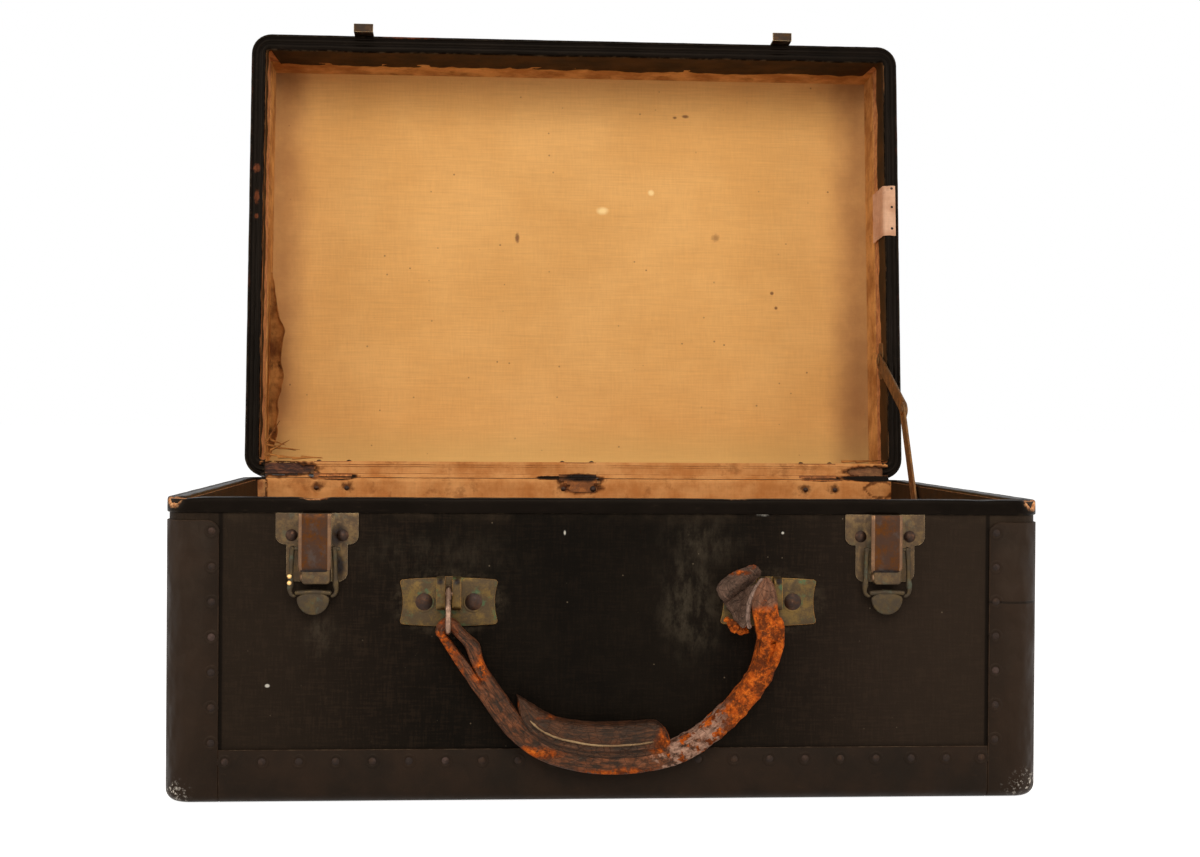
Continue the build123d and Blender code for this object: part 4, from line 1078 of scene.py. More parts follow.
cloth = shaped("hinge_cloth_torn", 400, 60, hinge_cloth)
gone = cut_away(cloth, lambda middle: tear_reach(middle, tears) < 1)
tear_rims_and_slit_shade = cloth.data.attributes.new("tear_rims_and_slit_shade", "FLOAT", "POINT")
for number, vertex in enumerate(cloth.data.vertices):
    tear, slit, rubbed = (tear_reach(vertex.co, holes) for holes in (tears, slits, hollow))
    ring = ease((1.6 - rubbed) / 0.3) * ease((rubbed - 0.7) / 0.3)
    fray = max(ease((2.1 - min(tear, slit)) / 1.1), 0.8 * ring)
    # The part above 1 paints the slits black, as painted shadow.
    tear_rims_and_slit_shade.data[number].value = fray + ease((1.15 - slit) / 0.3)
thickened(cloth, 0.35, 1)
done(cloth, None, "hinge_cloth", hinge_cloth_finish, ["hinge_cloth_base", "hinge_cloth_lid"], 60)
tuple(on_lid(0, 0.3, 2.4))
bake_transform(cloth)
print("faces torn out of the hinge cloth:", gone)

# %% [markdown]
# ## Helpers for small pieces
# Tacks, shards, rims and bars are small shapes that repeat, so they share three helpers:
# one copies a pattern to many places, one draws a round bar along a line, one joins meshes.

# %% Copies, bars and joined pieces
class HangingLine:
    """A smooth line through points in x and z, walked by distance."""

    def __init__(self, points, steps=14):
        points = [Vector(point) for point in points]
        guides = [2 * points[0] - points[1], *points, 2 * points[-1] - points[-2]]
        self.points = []
        for a, b, c, d in zip(guides, guides[1:], guides[2:], guides[3:]):
            for i in range(steps):
                t = i / steps
                self.points.append(0.5 * (2 * b + (c - a) * t + (2 * a - 5 * b + 4 * c - d) * t * t
                                          + (3 * b - a - 3 * c + d) * t ** 3))
        self.points.append(points[-1])
        self.reach = [0.0]
        for near, far in zip(self.points, self.points[1:]):
            self.reach.append(self.reach[-1] + (far - near).length)
        self.length = self.reach[-1]

    def at(self, distance):
        """Point and direction."""
        distance = min(max(distance, 0.0), self.length)
        index = next(i for i, reach in enumerate(self.reach[1:]) if reach >= distance - 1e-9)
        near, far = self.points[index], self.points[index + 1]
        part = (distance - self.reach[index]) / (self.reach[index + 1] - self.reach[index])
        return near.lerp(far, part), (far - near).normalized()


def copies(name, pattern, places):
    """One mesh of many placed copies of a small pattern, which is then removed."""
    mesh = bmesh.new()
    for place in places:
        part = pattern.data.copy()
        part.transform(place)
        mesh.from_mesh(part)
        bpy.data.meshes.remove(part)
    thing = bpy.data.objects.new(name, bpy.data.meshes.new(name))
    mesh.to_mesh(thing.data)
    mesh.free()
    bpy.context.scene.collection.objects.link(thing)
    bpy.data.objects.remove(pattern)
    return thing


def bar(name, points, radius, plane_y, columns=40, swell=None):
    """A round bar along a line in x and z, closed at both ends."""
    guide = HangingLine(points)

    def place(u, v):
        distance = guide.length * u
        point, way = guide.at(distance)
        near = min(distance, guide.length - distance) / radius
        size = radius * sqrt(max(0.0, 1 - (1 - min(1.0, near)) ** 2)) * (swell(u) if swell else 1)
        angle = 2 * pi * v
        around_x, around_y = cos(angle) * size, sin(angle) * size
        return in_room(point.x - way.y * around_x, plane_y + around_y, point.y + way.x * around_x)

    return tube(name, columns, 14, place)


def joined(name, *things):
    """Join pieces of one finish into one mesh."""
    only(things[0])
    for thing in things:
        thing.select_set(True)
    bpy.ops.object.join()
    things[0].name = things[0].data.name = name
    return things[0]

# %% [markdown]
# ## Patch and torn lining
# A piece of pink tape was pasted and tacked on the lid's right wall as a repair, and the wall
# lining of the left side hangs loose in a long curl. Both are thin sheets with ragged edges.

# %% Patch and curl
tape_path = HangingLine([(226.0, 0.0), (222.5, 0.0), (219.8, 0.0), (217.9, 0.5), (217.2, 2.2), (217.1, 6.0),
                         (217.1, 18.0), (217.1, 31.0)], 4)


def patch(u, v):
    """A point of the tape: u runs up the wall, v from the rim's outside over it to the inside."""
    s = 173.0 + 35.6 * u + 0.8 * rough((v * 40, u * 3, 0), 5, 2) * (1 if u in (0, 1) else 0)
    here = tape_path.at(tape_path.length * v)[0]
    inside = ease((here.y - 3) / 5)
    spot = (s, here.y, 0)
    lift = inside * (0.35 * rough(spot, 9, 4) + 1.4 * max(0, v - 0.85) * (1 + rough(spot, 6, 1)))
    end = 0.9 * rough((u * 40, v * 3, 0), 6, 3) * (1 if v == 1 else 0)
    return on_lid(here.x - lift, here.y + end, s)


tape = shaped("lid_patch_tape", 26, 44, patch)
tape.data.flip_normals()
thickened(tape, 0.15, 0)
done(tape, "lid", "patch", patch_finish, ["lid_patch"], 60)
pins = [start("pin", "uv_sphere", segments=16, ring_count=8, radius=1.9 * mm, scale=(1, 0.3, 1),
              location=on_lid(223.4, 0.42, s)) for s in (177.6, 193.0, 206.4)]


def curl(u, v):
    """A point of the loose strip, rolled up along its free edge."""
    s = 16.0 + 132.0 * u
    width = 15.5 + 7.0 * rough((s, 0, 0), 30, 1) + 1.5 * rough((s, 0, 0), 9, 2)
    width *= min(1.0, 5 * u + 0.25, 3.2 * (1 - u) + 0.12)
    bend = 2.9 + 1.3 * rough((s, 0, 0), 22, 9)
    turn = v * bend
    radius = width / bend
    t = 41.0 + 3.0 * rough((s, 0, 0), 40, 3) + radius * sin(turn) * 0.9
    lift = radius * (1 - cos(turn)) * (0.8 + 0.3 * rough((s, v * 9, 0), 13, 5))
    return on_lid(-217.2 + lift + 0.4 * rough((s, v * 20, 0), 6, 6), t, s)


loose = shaped("lid_lining_curl", 96, 14, curl)
thickened(loose, 0.35, 0)
done(loose, "lid", "wall_linen", curl_finish, smooth=60)
done(joined("lid_patch_tacks", *pins), "lid", "patch", tack_finish)

# %% [markdown]
# Where the lid's lower corners are torn, the strawboard has split into long flat splinters.
# Cutting them from the board would need a very fine mesh, so thin cones are flattened and laid
# along the tear, raised a little off the rim so that the lid still shuts.

# %% Splinters of board at the lid's torn corner
def splinters(name, places):
    """Thin shards; each starts at x and s on the lid, and has a height t, a length and a slope."""
    shard = start("shard", "cone", vertices=6, radius1=1.9 * mm, radius2=0.3 * mm, depth=1.0)
    poses = []
    for x, s, t, length, slope in places:
        near, far = on_lid(x, t, s), on_lid(x + length, t - 0.6, s + length * slope)
        along = far - near
        poses.append(Matrix.Translation((near + far) / 2) @ along.to_track_quat("Z", "Y").to_matrix().to_4x4()
                     @ Matrix.Diagonal((1.0, 0.5, along.length, 1)))
    return copies(name, shard, poses)


shards = splinters("lid_splinters", [
    (-215, 15.4, 3.0, 22, -0.12), (-211, 18.0, 3.2, 13, 0.55), (-206, 13.2, 2.6, 24, -0.02),
    (-196, 12.4, 2.5, 20, 0.04), (-190, 13.6, 2.8, 15, -0.06), (-214, 24.0, 3.4, 9, 1.6),
    (-214, 22.0, 6.0, 20, -0.20), (-209, 20.0, 4.5, 18, -0.08), (-213, 26.0, 8.0, 12, -0.36),
    (186, 12.2, 2.6, 26, 0.04), (196, 12.0, 2.8, 20, 0.06)])
done(shards, "lid", "board", curl_finish)

# %% [markdown]
# ## The handle
# A strap is folded round the ring at each end, so it has two layers that part at the eyes.
# A second, folded piece makes the grip above it, pointed at the left and worn round at the
# right. All of them are long shapes along one hanging line, so each is a tube of grid faces:
# u runs along the line and v round the section, whose width, depth and wear change on the way.

# %% The hanging line
wire_radius, drop = 1.4, 67.1
handle_y, half_span = middle_of("handle_strap", 1), middle_of("handle_ring_right")
bar_z = reach_of("handle_ring_right", 2, lowest=True) + wire_radius
hang = [(-1.0, 0.0), (-0.883, -0.221), (-0.740, -0.477), (-0.566, -0.754), (-0.361, -0.921), (-0.058, -1.0),
        (0.257, -0.976), (0.495, -0.875), (0.723, -0.657), (0.904, -0.393), (0.988, -0.143), (1.0, 0.0)]
line = HangingLine([(x * half_span, bar_z + z * drop) for x, z in hang])
print("strap line", round(line.length, 1), "mm")


def oval(angle, half_wide, half_deep, square):
    """A point on a rounded section; a small power makes it boxy."""
    c, s = cos(angle), sin(angle)
    wide = half_wide * abs(c) ** square * (1 if c > 0 else -1)
    return wide, half_deep * abs(s) ** square * (1 if s > 0 else -1)


def beside(distance):
    """A point of the hanging line and the direction across it."""
    point, way = line.at(distance)
    return point, Vector((-way.y, way.x))


# %% [markdown]
# The strap is one long band whose two halves lie on each other and part round the rings. Bending
# a flat strip would leave its layers to be kept apart by hand. Instead one closed route goes
# out along the lower layer, round the right ring and back along the upper one, and a boxy
# section is carried round it, thinner where the leather is stretched and flaking at the right.

# %% Strap of two layers
def strap_stop(side, distance):
    """Middle of a layer, its side direction, its half thickness and half depth."""
    point, aside = beside(distance)
    end = min(distance, line.length - distance)
    parting = 1 - ease(end / 23)
    left = distance < line.length / 2
    half = 2.95 - 0.95 * parting * (1 if side < 0 else 0.35)
    offset = 2.9 + 0.9 * parting
    if side > 0 and left:
        offset += 2.7 * exp(-((distance - 13) / 7.5) ** 2)
        half += 0.9 * exp(-((distance - 16) / 5.0) ** 2)
    slim = 1 - 0.13 * ease((point.x - 40) / 18) * ease((end - 14) / 14)
    half, offset = half * slim, offset * slim
    deep = 5.75 + (3.7 * ease((distance - line.length + 22) / 14) if not left else 0)
    return point + aside * side * offset, aside, half, deep


def strap_route():
    """The closed line of the doubled strap: out below, round the right eye, back above."""
    route, count, turns = [], 110, 10
    for i in range(count + 1):
        middle, aside, half, deep = strap_stop(-1, line.length * i / count)
        route.append((middle, -aside, half, deep))
    for end, first in ((line.length, -1), (0.0, 1)):
        point, way = line.at(end)
        heading = way if end else -way
        here, aside, half, deep = strap_stop(first, end)
        arm = (here - point).length
        top = 3.5 if end else 0.0
        for i in range(1, turns):
            angle = pi * i / turns
            out = aside * first * cos(angle) + heading * sin(angle)
            route.append((point + out * arm + heading * top * sin(angle), out, half, deep))
        if end:
            for i in range(count + 1):
                middle, aside, half, deep = strap_stop(1, line.length * (1 - i / count))
                route.append((middle, aside, half, deep))
    return route + route[:1]


route = strap_route()


def strap(u, v):
    """A point of the strap: u runs round its route, v round its section."""
    middle, out, half, deep = pick(route, u)
    wide, depth = oval(2 * pi * v, half, deep, 0.34)
    spot = (middle.x, depth * 2, middle.y)
    flaky = ease((middle.x - 24) / 20)
    bump = (0.22 + 0.30 * flaky) * rough(spot, 5.5, 1) + (0.10 + 0.22 * flaky) * rough(spot, 1.9, 2)
    crease = -0.25 * max(0, rough((middle.x * 2.5, depth, middle.y * 2.5), 4, 5) - 0.25)
    grow = 1 + (bump + crease) / max(half, 1)
    place = middle + out * (wide * grow)
    return in_room(place.x, handle_y + depth * (1 + 0.06 * bump), place.y)


leather_strap = tube("handle_strap_doubled", len(route) - 1, 24, strap)
done(leather_strap, "handle", "leather", leather_finish, ["handle_strap"], 70)

# %% [markdown]
# The grip is a second piece of leather, folded lengthwise and sewn, that the hand has rolled
# nearly round. It is a tube whose height follows a table measured along the line, so its
# pointed left end and blunt right end come from one formula; the seam is pressed in at the front.

# %% Grip
grip_from, grip_to = 46.5, 147.5
grip_tops = [(46.5, 10.6), (58, 14.6), (75, 16.8), (91, 18.8), (109, 20.2), (124, 20.4), (138, 19.4),
             (147.5, 17.4)]


def grip_shape(distance):
    """Middle of the grip above the strap's line, its thickness and its depth, closing at both ends."""
    index = max(i for i, (reach, _) in enumerate(grip_tops[:-1]) if reach <= distance)
    (near, low_top), (far, high_top) = grip_tops[index:index + 2]
    top = low_top + (high_top - low_top) * (distance - near) / (far - near)
    run, rest = distance - grip_from, grip_to - distance
    bottom = 1.2 + 9.0 * (1 - ease(run / 22)) ** 1.5
    end = sqrt(max(0.0, 1 - (1 - min(1.0, rest / 7.5)) ** 2))
    tip = min(1.0, run / 2.5) ** 0.6
    deep = 8.0 * (0.6 + 0.4 * ease(run / 24)) * end ** 0.6 * tip
    return (top + bottom) / 2, (top - bottom) * end * tip, deep


def grip(u, v):
    """A point of the grip: u runs along it, v round its section."""
    distance = grip_from + (grip_to - grip_from) * u
    point, aside = beside(distance)
    middle, thick, deep = grip_shape(distance)
    wide, depth = oval(2 * pi * v, thick / 2, deep, 0.62)
    spot = (point.x, depth * 1.5, point.y + wide)
    bump = 0.26 * rough(spot, 6, 1) + 0.20 * rough((point.x * 0.5, depth * 4, wide * 3), 4, 2)
    if depth < 0:
        seam = wide + 0.10 * thick
        bump -= 0.9 * exp(-(seam / 0.8) ** 2) * ease((distance - grip_from - 12) / 8)
        bump += 0.55 * exp(-((seam - 2.2) / 1.2) ** 2) - 0.7 * exp(-((seam + 3.6) / 0.9) ** 2)
        bump += 0.5 * exp(-((seam + 1.9) / 0.9) ** 2)
    sink = 1 + bump / max(thick / 2, 2.0)
    place = point + aside * (middle + wide * sink)
    return in_room(place.x, handle_y + depth * (1 + bump / 7), place.y)


roll = tube("handle_grip_rolled", 120, 56, grip)
done(roll, "handle", "leather", grip_finish, ["handle_grip"], 75)

# %% [markdown]
# ## The torn end
# At the right the old covering has torn loose and stands curled in front of the plate.
# Its outline is uneven, so the sheet is made from rings that shrink towards one middle point.
# It spans the ring's pin, so it rides on neither body.

# %% Outlines and sheets of torn leather
upper_petal = [(73.4, 123.8), (77.1, 120.3), (75.5, 116.1), (67.9, 108.1), (62.1, 103.9), (57.0, 105.5),
               (54.3, 110.2), (55.4, 114.1), (61.2, 118.9), (68.6, 122.3)]
lower_petal = [(76.7, 115.9), (73.1, 109.7), (70.9, 102.8), (70.3, 96.5), (67.9, 91.4), (64.7, 94.3),
               (61.1, 99.5), (57.9, 104.9), (62.3, 106.1), (68.7, 110.5)]


def petal(name, outline, proud, seed):
    """A torn sheet inside an outline; proud(x, z) says how far it stands off the wall."""
    ring = HangingLine(outline + outline[:1], 4)
    middle = sum((Vector(point) for point in outline), Vector((0, 0))) / len(outline)

    def place(u, v):
        edge = ring.at(ring.length * (1 - u))[0]
        ragged = 1 + 0.05 * rough((edge.x, 0, edge.y), 1.4, seed)
        point = middle.lerp(edge, v * (ragged if v == 1 else 1))
        spot = (point.x, 0, point.y)
        off = proud(point.x, point.y) + 0.5 * rough(spot, 3.4, seed) * v
        return in_room(point.x, front_y - off - 0.25 * rough(spot, 1.4, seed + 1), point.y)

    thing = shaped(name, 80, 16, place)
    tidy_mesh(thing)
    thickened(thing, 1.3, 0)
    rounded(thing, 0.3)
    return thing

# %% [markdown]
# The two flaps stand off the wall by different amounts, and the upper one is creased along the
# fold between them. The place of the fold is one line, and each flap's distance from the
# wall is a short formula of how far a point is from it.

# %% The two torn flaps
def from_fold(x, z):
    """Distance above the fold between the two petals."""
    return (z - 104.1) * 0.75 - (x - 61.9) * 0.66


def upper_off(x, z):
    """The upper flap's distance from the wall, least along the fold."""
    return 13.6 - 3.6 * exp(-(from_fold(x, z) / 2.6) ** 2) - 1.2 * ease((from_fold(x, z) - 5) / 6)


def lower_off(x, z):
    """The lower flap's distance from the wall, which grows to the right."""
    return 11.0 + 4.6 * ease((x - 65.2 - (z - 102.5) * 0.30) / 5.0) + 1.0 * ease((99.5 - z) / 6)


petals = joined("handle_end_torn", petal("upper", upper_petal, upper_off, 3.0),
                petal("lower", lower_petal, lower_off, 5.0))
done(petals, None, "leather", wrap_finish, ["handle_end_wrap"], 50)
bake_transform(petals)

# %% [markdown]
# The flap's edge has rolled over into a pale rounded rim, and below it the covering has
# crumbled into small orange shreds. The rim is a bar of changing thickness; each shred is
# a ball pushed about by noise, because nothing about a crumb needs to be exact.

# %% Rolled rim and shreds
rim_line = [(77.8, 117.0), (74.0, 111.8), (71.4, 106.0), (70.2, 100.5), (70.0, 95.2), (71.2, 91.0)]
curled = bar("handle_end_rim", rim_line, 1.35, -170.2, swell=lambda u: 1 + 0.25 * rough((u * 30, 0, 0), 3, 2))
done(curled, None, "leather", rim_leather_finish, smooth=70)
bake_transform(curled)
shreds = []
for x, z, size in ((62.0, 93.6, 1.9), (64.4, 91.6, 2.7), (66.8, 89.8, 2.2), (68.4, 92.6, 1.6),
                   (60.0, 95.4, 1.3), (69.6, 89.4, 1.3)):
    shred = start("shred", "ico_sphere", subdivisions=3, radius=size * mm, location=(0, 0, 0))
    for vertex in shred.data.vertices:
        vertex.co *= 1 + 0.6 * rough(vertex.co / mm, 1.5, x)
        vertex.co = in_room(x, -165.6, z) + Vector((vertex.co.x * 1.2, vertex.co.y, vertex.co.z))
    shreds.append(shred)
done(joined("handle_end_shreds", *shreds), "handle", "leather", orange_finish, smooth=50)

# %% [markdown]
# Behind the torn flap the strap's own end comes up through the ring and lies over the plate's
# ears. It is a flat tongue, rounded at its tip, and like the flap it rides on neither body,
# because the ring carries its lower end while its upper end stays at the plate.

# %% The strap's own end
def end_tongue(u, v):
    """The strap's own end, drawn up through the ring and laid over the ears."""
    z = 84.0 + 33.5 * u
    middle_x = 81.6 - 3.2 * ease(u / 0.6) + 0.9 * ease((u - 0.6) / 0.4)
    close = sqrt(max(0.0, 1 - max(0.0, (u - 0.8) / 0.2) ** 2)) * min(1.0, (u / 0.06 + 0.2))
    wide, depth = oval(2 * pi * v, (6.9 - 0.6 * u - 2.4 * ease((u - 0.6) / 0.4)) * close, 3.0 * close, 0.5)
    spot = (middle_x + wide, depth, z)
    bump = 0.45 * rough(spot, 5, 3) + 0.30 * rough(spot, 2, 4)
    back = -170.6 - 0.8 * sin(pi * u) + 1.2 * ease((u - 0.75) / 0.25)
    return in_room(middle_x + wide * (1 + 0.07 * bump), back + depth * (1 + 0.2 * bump), z)


tongue = tube("handle_end_tongue", 60, 32, end_tongue)
done(tongue, None, "leather", tongue_finish, smooth=70)
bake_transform(tongue)

# %% [markdown]
# ## Metal parts
# The plates, loops, catches and links are right as solids, but their edges are mathematically
# sharp. Real sheet metal is blanked, filed and handled, so each gets a copy whose edges are
# bevelled a few tenths of a millimetre. That thin line of light is what makes them look solid.

# %% Worn metal copies of the CAD parts
soft_edges = [(node, node.split("_")[0], "fibre", 0.3, binding_finish, fibre_edge) for node in (
    "base_corner_bindings", "lid_corner_bindings", "base_bottom_bindings", "lid_edge_bindings")]
for side in ("left", "right"):
    soft_edges += [(f"latch_plate_{side}", "base", "plate_brass", 0.35, brass_finish, brass_edge),
                   (f"handle_plate_{side}", "base", "plate_brass", 0.5, handle_brass_finish, handle_edge),
                   (f"catch_{side}", "lid", "plate_brass", 0.3, catch_finish, brass_edge)]
soft_edges += [(node, body, "stay_brass", 0.2, stay_finish, stay_edge) for node, body in (
    ("stay_upper_link", "upper_link"), ("stay_lower_link", "lower_link"),
    ("stay_base_bracket", "base"), ("stay_lid_bracket", "lid"))]
# The metal parts' brighter finishes on the bevels are partly worn metal and partly painted highlight.
for node, body, slot, width, finish, edge_finish in soft_edges:
    done(softened(node, width), body, slot, finish, [node], rubbed=edge_finish)

# %% [markdown]
# Between the cheeks of each latch lies a flat spring with rolled shoulders, held by a small
# barrel at its foot. The solid says where it is; the dome is a grid bent by a formula, because
# its shoulders and its tucked foot catch all the light. Its shoulders get the brighter finish,
# partly as worn metal and partly as painted highlight, and its tucked foot gets painted shade.

# %% Domed copper straps of the latches
def copper_strap(middle_x):
    """The place function of the strap of one latch."""
    def place(u, v):
        across = 2 * u - 1
        z = 119.2 + 29.8 * v
        tuck = ease((0.14 - v) / 0.14)
        x = middle_x - 0.6 + 8.4 * across * (1 - 0.05 * tuck ** 2)
        shoulder = max(0.0, (abs(across) - 0.60) / 0.40)
        proud = 9.0 - 0.9 * (1 - sqrt(max(0.0, 1 - shoulder ** 2))) - 0.3 * ease(shoulder * 3)
        proud += 0.10 * rough((x, z, 0), 5, 1) - 0.9 * tuck ** 1.6
        proud -= 0.5 * ease((v - 0.93) / 0.07)
        return in_room(x, front_y - proud, z)

    return place


latch_middles = {side: middle_of(f"latch_spring_{side}") for side in ("left", "right")}
for side, middle_x in latch_middles.items():
    strap_piece = shaped(f"latch_spring_{side}_domed", 18, 30, copper_strap(middle_x))
    two_slots(strap_piece)
    for face in strap_piece.data.polygons:
        face.material_index = int(abs(face.center.x / mm - middle_x + 0.6) > 6.7)
    thickened(strap_piece, 0.8)
    rounded(strap_piece, 0.25)
    done(strap_piece, "base", "spring_copper", spring_finish, [f"latch_spring_{side}"], 50, spring_edge)
    boss = start(f"latch_boss_{side}", "cylinder", vertices=40, radius=3.0 * mm, depth=15.6 * mm,
                 location=in_room(middle_x - 0.6, -158.6, 116.5), rotation=(0, pi / 2, 0))
    rounded(boss, 2.6, steps=5)
    done(boss, "base", "plate_brass", boss_finish)


# %% [markdown]
# The loops are bent from round and flat brass: two slim arms, a crossbar and a thumb tab.
# Each arm is a tube along a line in the loop's plane. The tab starts as a flat disc; its
# upper half is drawn up to the crossbar, and its rim is rounded by a bevel.

# %% Latch loops
pivot_z, loop_y, tab_z = middle_of("latch_pins", 2), -159.9, 105.4
arm_line = [(10.4, 132.6), (10.9, 128.0), (11.2, 120.0), (11.5, 113.0), (11.8, 110.0), (10.9, 107.6),
            (8.6, 106.6)]
loop_middles = {"left": latch_middles["left"] - 1.4, "right": latch_middles["right"]}
for side, middle_x in loop_middles.items():
    parts = []
    for hand in (-1, 1):
        parts.append(bar("arm", [(middle_x + hand * x, z) for x, z in arm_line], 1.15, loop_y,
                         swell=lambda u: 1.25 - 0.45 * u + 0.5 * exp(-((u - 0.72) / 0.1) ** 2)))
        eye_line = [(middle_x + hand * x, pivot_z) for x in (10.0, 11.6)]
        parts.append(bar("eye", eye_line, 1.9, loop_y, 12))
    cross_line = [(middle_x + x, z) for x, z in ((-9.6, 108.4), (0, 108.9), (9.6, 108.4))]
    parts.append(bar("crossbar", cross_line, 1.25, loop_y))
    tab = start("tab", "cylinder", vertices=64, radius=8.2 * mm, depth=1.5 * mm, rotation=(pi / 2, 0, 0),
                location=in_room(middle_x, loop_y, tab_z))
    for vertex in tab.data.vertices:
        above = vertex.co.z - tab_z * mm
        if above > 0:
            vertex.co.z = tab_z * mm + above * 0.38
    rounded(tab, 0.55, steps=3, material=1)
    parts.append(tab)
    whole_loop = joined(f"latch_loop_{side}_bent", tab, *parts[:-1])
    done(whole_loop, f"loop_{side}", "plate_brass", loop_finish, [f"latch_loop_{side}"], 50, rubbed=loop_edge)
beads = [start("bead", "uv_sphere", segments=14, ring_count=9, radius=1.25 * mm,
               location=in_room(loop_middles["left"] - 11.9, loop_y - 1.0, z)) for z in (117.0, 113.6)]
done(joined("latch_beads", *beads), "loop_left", "plate_brass", bead_finish)

# %% [markdown]
# ## Seam and cover of the handle
# The strap's middle is covered by a third layer, so that its two layers show only at the eyes.
# It is stretched and cracked along its length. On the grip a pale welt of thread stands along
# the seam. Single stitches would be too small to see, so one uneven ridge stands for them.

# %% Cover of the strap's middle, and the grip's welt
def strap_cover(u, v):
    """A point of the third layer: u runs along the line, v round the section."""
    distance = 30.0 + (line.length - 36.0) * u
    point, aside = beside(distance)
    close = 1.0 if 0.0 < u < 1.0 else 0.05
    rise = ease((distance - 30) / 16)
    half, deep = (4.6 + 1.35 * rise) * close, (5.2 + 0.95 * rise) * close
    wide, depth = oval(2 * pi * v, half, deep, 0.44)
    spot = (point.x, depth * 1.4, point.y + wide)
    flaky = ease((point.x - 20) / 22)
    grooves = 0.30 * rough((distance * 0.16, wide * 0.9, depth * 0.5), 1.0, 4) * (1 - 0.5 * flaky)
    bump = grooves + (0.18 + 0.42 * flaky) * rough(spot, 4.2, 6) + (0.08 + 0.30 * flaky) * rough(spot, 1.7, 7)
    if depth < 0:
        bump -= 0.55 * exp(-((wide - 1.6) / 0.7) ** 2) * ease((70 - distance) / 12)
    size = 1 + bump / 6
    place = point + aside * (wide * size)
    return in_room(place.x, handle_y + depth * size, place.y)


cover_piece = tube("handle_strap_cover", 230, 56, strap_cover)
done(cover_piece, "handle", "leather", strap_cover_finish, smooth=80)


seam_from, seam_to = grip_from + 13, grip_to - 8


def welt(u, v):
    """A point of the thin ridge of thread along the grip's seam."""
    distance = seam_from + (seam_to - seam_from) * u
    point, aside = beside(distance)
    middle, thick, deep = grip_shape(distance)
    size = 0.62 * (1 + 0.35 * rough((distance, 0, 0), 2.0, 3)) * min(1.0, 12 * u + 0.1, 12 * (1 - u) + 0.1)
    centre = point + aside * (middle - 0.10 * thick + 0.9 + 0.25 * rough((distance, 0, 0), 7, 5)
                              + cos(2 * pi * v) * size)
    return in_room(centre.x, handle_y - deep * 0.985 + sin(2 * pi * v) * size, centre.y)


welt_piece = tube("handle_welt", 150, 10, welt)
done(welt_piece, "handle", "leather", thread_finish, smooth=80)

# %% [markdown]
# ## Tack dents and rivet rims
# Each tack has pulled the fibre down and raised a low ring round itself. The places of the
# tacks are read from the CAD model's own heads: every loose island of faces is one head.
# The heads are taken in the mesh's own order, because a set of corners has another order on
# each run. One ring is modelled, and a copy is placed and turned at each head.

# %% Dents round the tacks and rims round the handle's rivets
def islands(node):
    """Middle, outward direction and corners of each loose head of a node."""
    mesh = bmesh.new()
    mesh.from_mesh(frame["nodes"][node].data)
    bmesh.ops.remove_doubles(mesh, verts=mesh.verts, dist=0.02 * mm)
    seen, found = set(), []
    for first in mesh.verts:
        if first in seen:
            continue
        seen.add(first)
        group, queue = [], [first]
        while queue:
            vertex = queue.pop()
            group.append(vertex)
            for edge in vertex.link_edges:
                other = edge.other_vert(vertex)
                if other not in seen:
                    seen.add(other)
                    queue.append(other)
        faces = list(dict.fromkeys(face for vertex in group for face in vertex.link_faces))
        flat = max(faces, key=lambda face: face.calc_area())
        middle = sum((vertex.co for vertex in group), Vector()) / len(group)
        flats = sum((face.normal * face.calc_area() for face in faces if face.normal.dot(flat.normal) > 0.99),
                    Vector())
        found.append((middle, -flats.normalized(), [vertex.co.copy() for vertex in group]))
    mesh.free()
    return found


def rings(name, node, radius, thick, flat, wall=None):
    """A low ring round the foot of every head of a node, or on a wall: its direction and distance."""
    ring = start("ring", "torus", major_radius=radius * mm, minor_radius=thick * mm, major_segments=20,
                 minor_segments=6)
    for vertex in ring.data.vertices:
        vertex.co.z *= flat
    places = []
    for middle, out, group in islands(node):
        foot = min(point.dot(out) for point in group)
        if wall:
            out, foot = wall
        base = middle + out * (foot - middle.dot(out))
        places.append(Matrix.Translation(base) @ out.to_track_quat("Z", "Y").to_matrix().to_4x4())
    print(name, len(places))
    return copies(name, ring, places)


for half in ("base", "lid"):
    dents = rings(f"{half}_tack_dents", f"{half}_tacks", 3.0, 0.9, 0.30)
    done(dents, half, "fibre", binding_finish, smooth=80)
plate_face = (Vector((0, -1, 0)), 155.2 * mm)
done(rings("handle_rivet_rims", "handle_rivets", 5.0, 0.9, 0.28, plate_face), "base", "plate_brass",
     handle_brass_finish, smooth=80)

# %% [markdown]
# ## Floor and light
# The photograph is cut out on white, and only a soft shadow is left of the studio. The floor is
# pale and diffuse, so it takes the shadow. A white floor lit to white would throw too much light
# up at the case, so it glows a little for the camera alone, which lifts its lit parts to white.

# %% Floor
def shown_to_camera(f):
    """1 for what the camera sees, straight on, in a reflection or through glass."""
    path = f.node("ShaderNodeLightPath")
    straight, mirrored, through = (Value(f, path.outputs[f"Is {kind} Ray"])
                                   for kind in ("Camera", "Glossy", "Transmission"))
    return straight.most(mirrored).most(through)


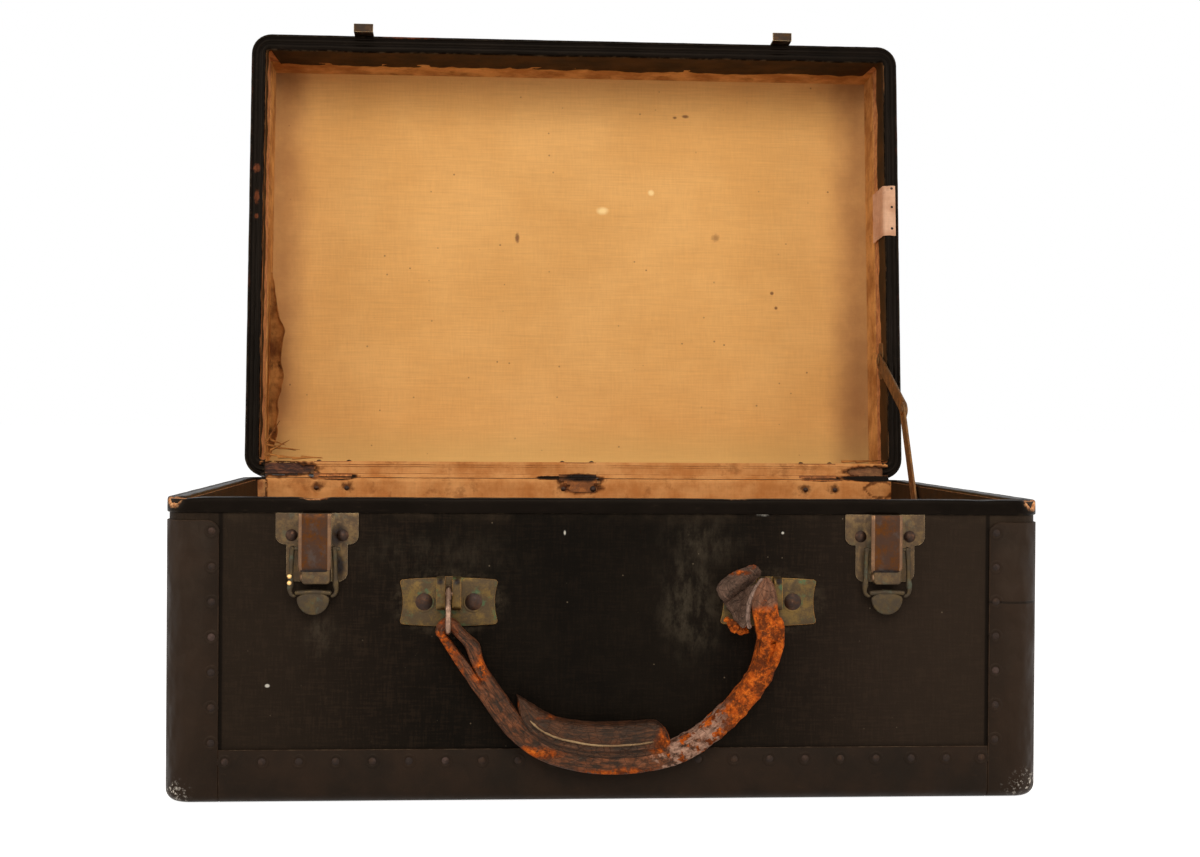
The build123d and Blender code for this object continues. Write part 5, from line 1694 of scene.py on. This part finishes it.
floor = start("floor", "plane", size=60, location=(0, 0, -0.4 * mm))
paper = Finish("floor_paper")
surface = paper.node("ShaderNodeBsdfDiffuse", None, {"Color": (0.8, 0.8, 0.8, 1)})
glow_strength = 0.85
glow = paper.node("ShaderNodeEmission", None, {"Color": (1, 1, 1, 1), "Strength": glow_strength})
nothing = paper.node("ShaderNodeEmission", None, {"Strength": 0.0})
shown = paper.node("ShaderNodeMixShader", None,
                   {0: shown_to_camera(paper), 1: nothing.outputs[0], 2: glow.outputs[0]})
both = paper.node("ShaderNodeAddShader", None, {0: surface.outputs[0], 1: shown.outputs[0]})
paper.node("ShaderNodeOutputMaterial", None, {0: both.outputs[0]})
floor.data.materials.append(paper.material)
print("the floor glows at", glow_strength, "for the camera")

# %% [markdown]
# The room behind the case is white for the camera, but it lights the case only dimly and a little
# warm. An evenly bright room would wash out the shadows inside the lid and between the straps.

# %% World
world = bpy.data.worlds.new("room")
bpy.context.scene.world = world
room = Finish("room", world)
room_strength = 0.30
dim = room.node("ShaderNodeBackground", None, {"Color": (1.0, 0.97, 0.93, 1), "Strength": room_strength})
white = room.node("ShaderNodeBackground", None, {"Color": (1, 1, 1, 1)})
choose = room.node("ShaderNodeMixShader", None,
                   {0: shown_to_camera(room), 1: dim.outputs[0], 2: white.outputs[0]})
room.node("ShaderNodeOutputWorld", None, {0: choose.outputs[0]})
print("the room shines at", room_strength)

# %% [markdown]
# Two large soft lamps stand left and right, as the highlights on the latches show, and a broad
# one hangs in front and above, so that the lid's lining is evenly lit. Small lamps would give
# hard shadows, which the photograph doesn't have.

# %% Lamps
def lamp(name, place, aim, size, power):
    """A square soft lamp that looks at a point."""
    light = bpy.data.lights.new(name, "AREA")
    light.size, light.energy, light.color = size, power, (1.0, 0.96, 0.9)
    thing = bpy.data.objects.new(name, light)
    bpy.context.scene.collection.objects.link(thing)
    turn = (Vector(aim) - Vector(place)).to_track_quat("-Z", "Y")
    thing.matrix_world = Matrix.Translation(place) @ turn.to_matrix().to_4x4()
    print(name, power, "W")


lamp("lamp_left", (-1.5, -0.7, 0.7), (0, -0.1, 0.15), 0.8, 8.6)
lamp("lamp_right", (1.5, -0.7, 0.7), (0, -0.1, 0.15), 0.8, 8.6)
lamp("lamp_front", (0.0, -1.9, 1.3), (0, 0.1, 0.25), 1.3, 28.8)
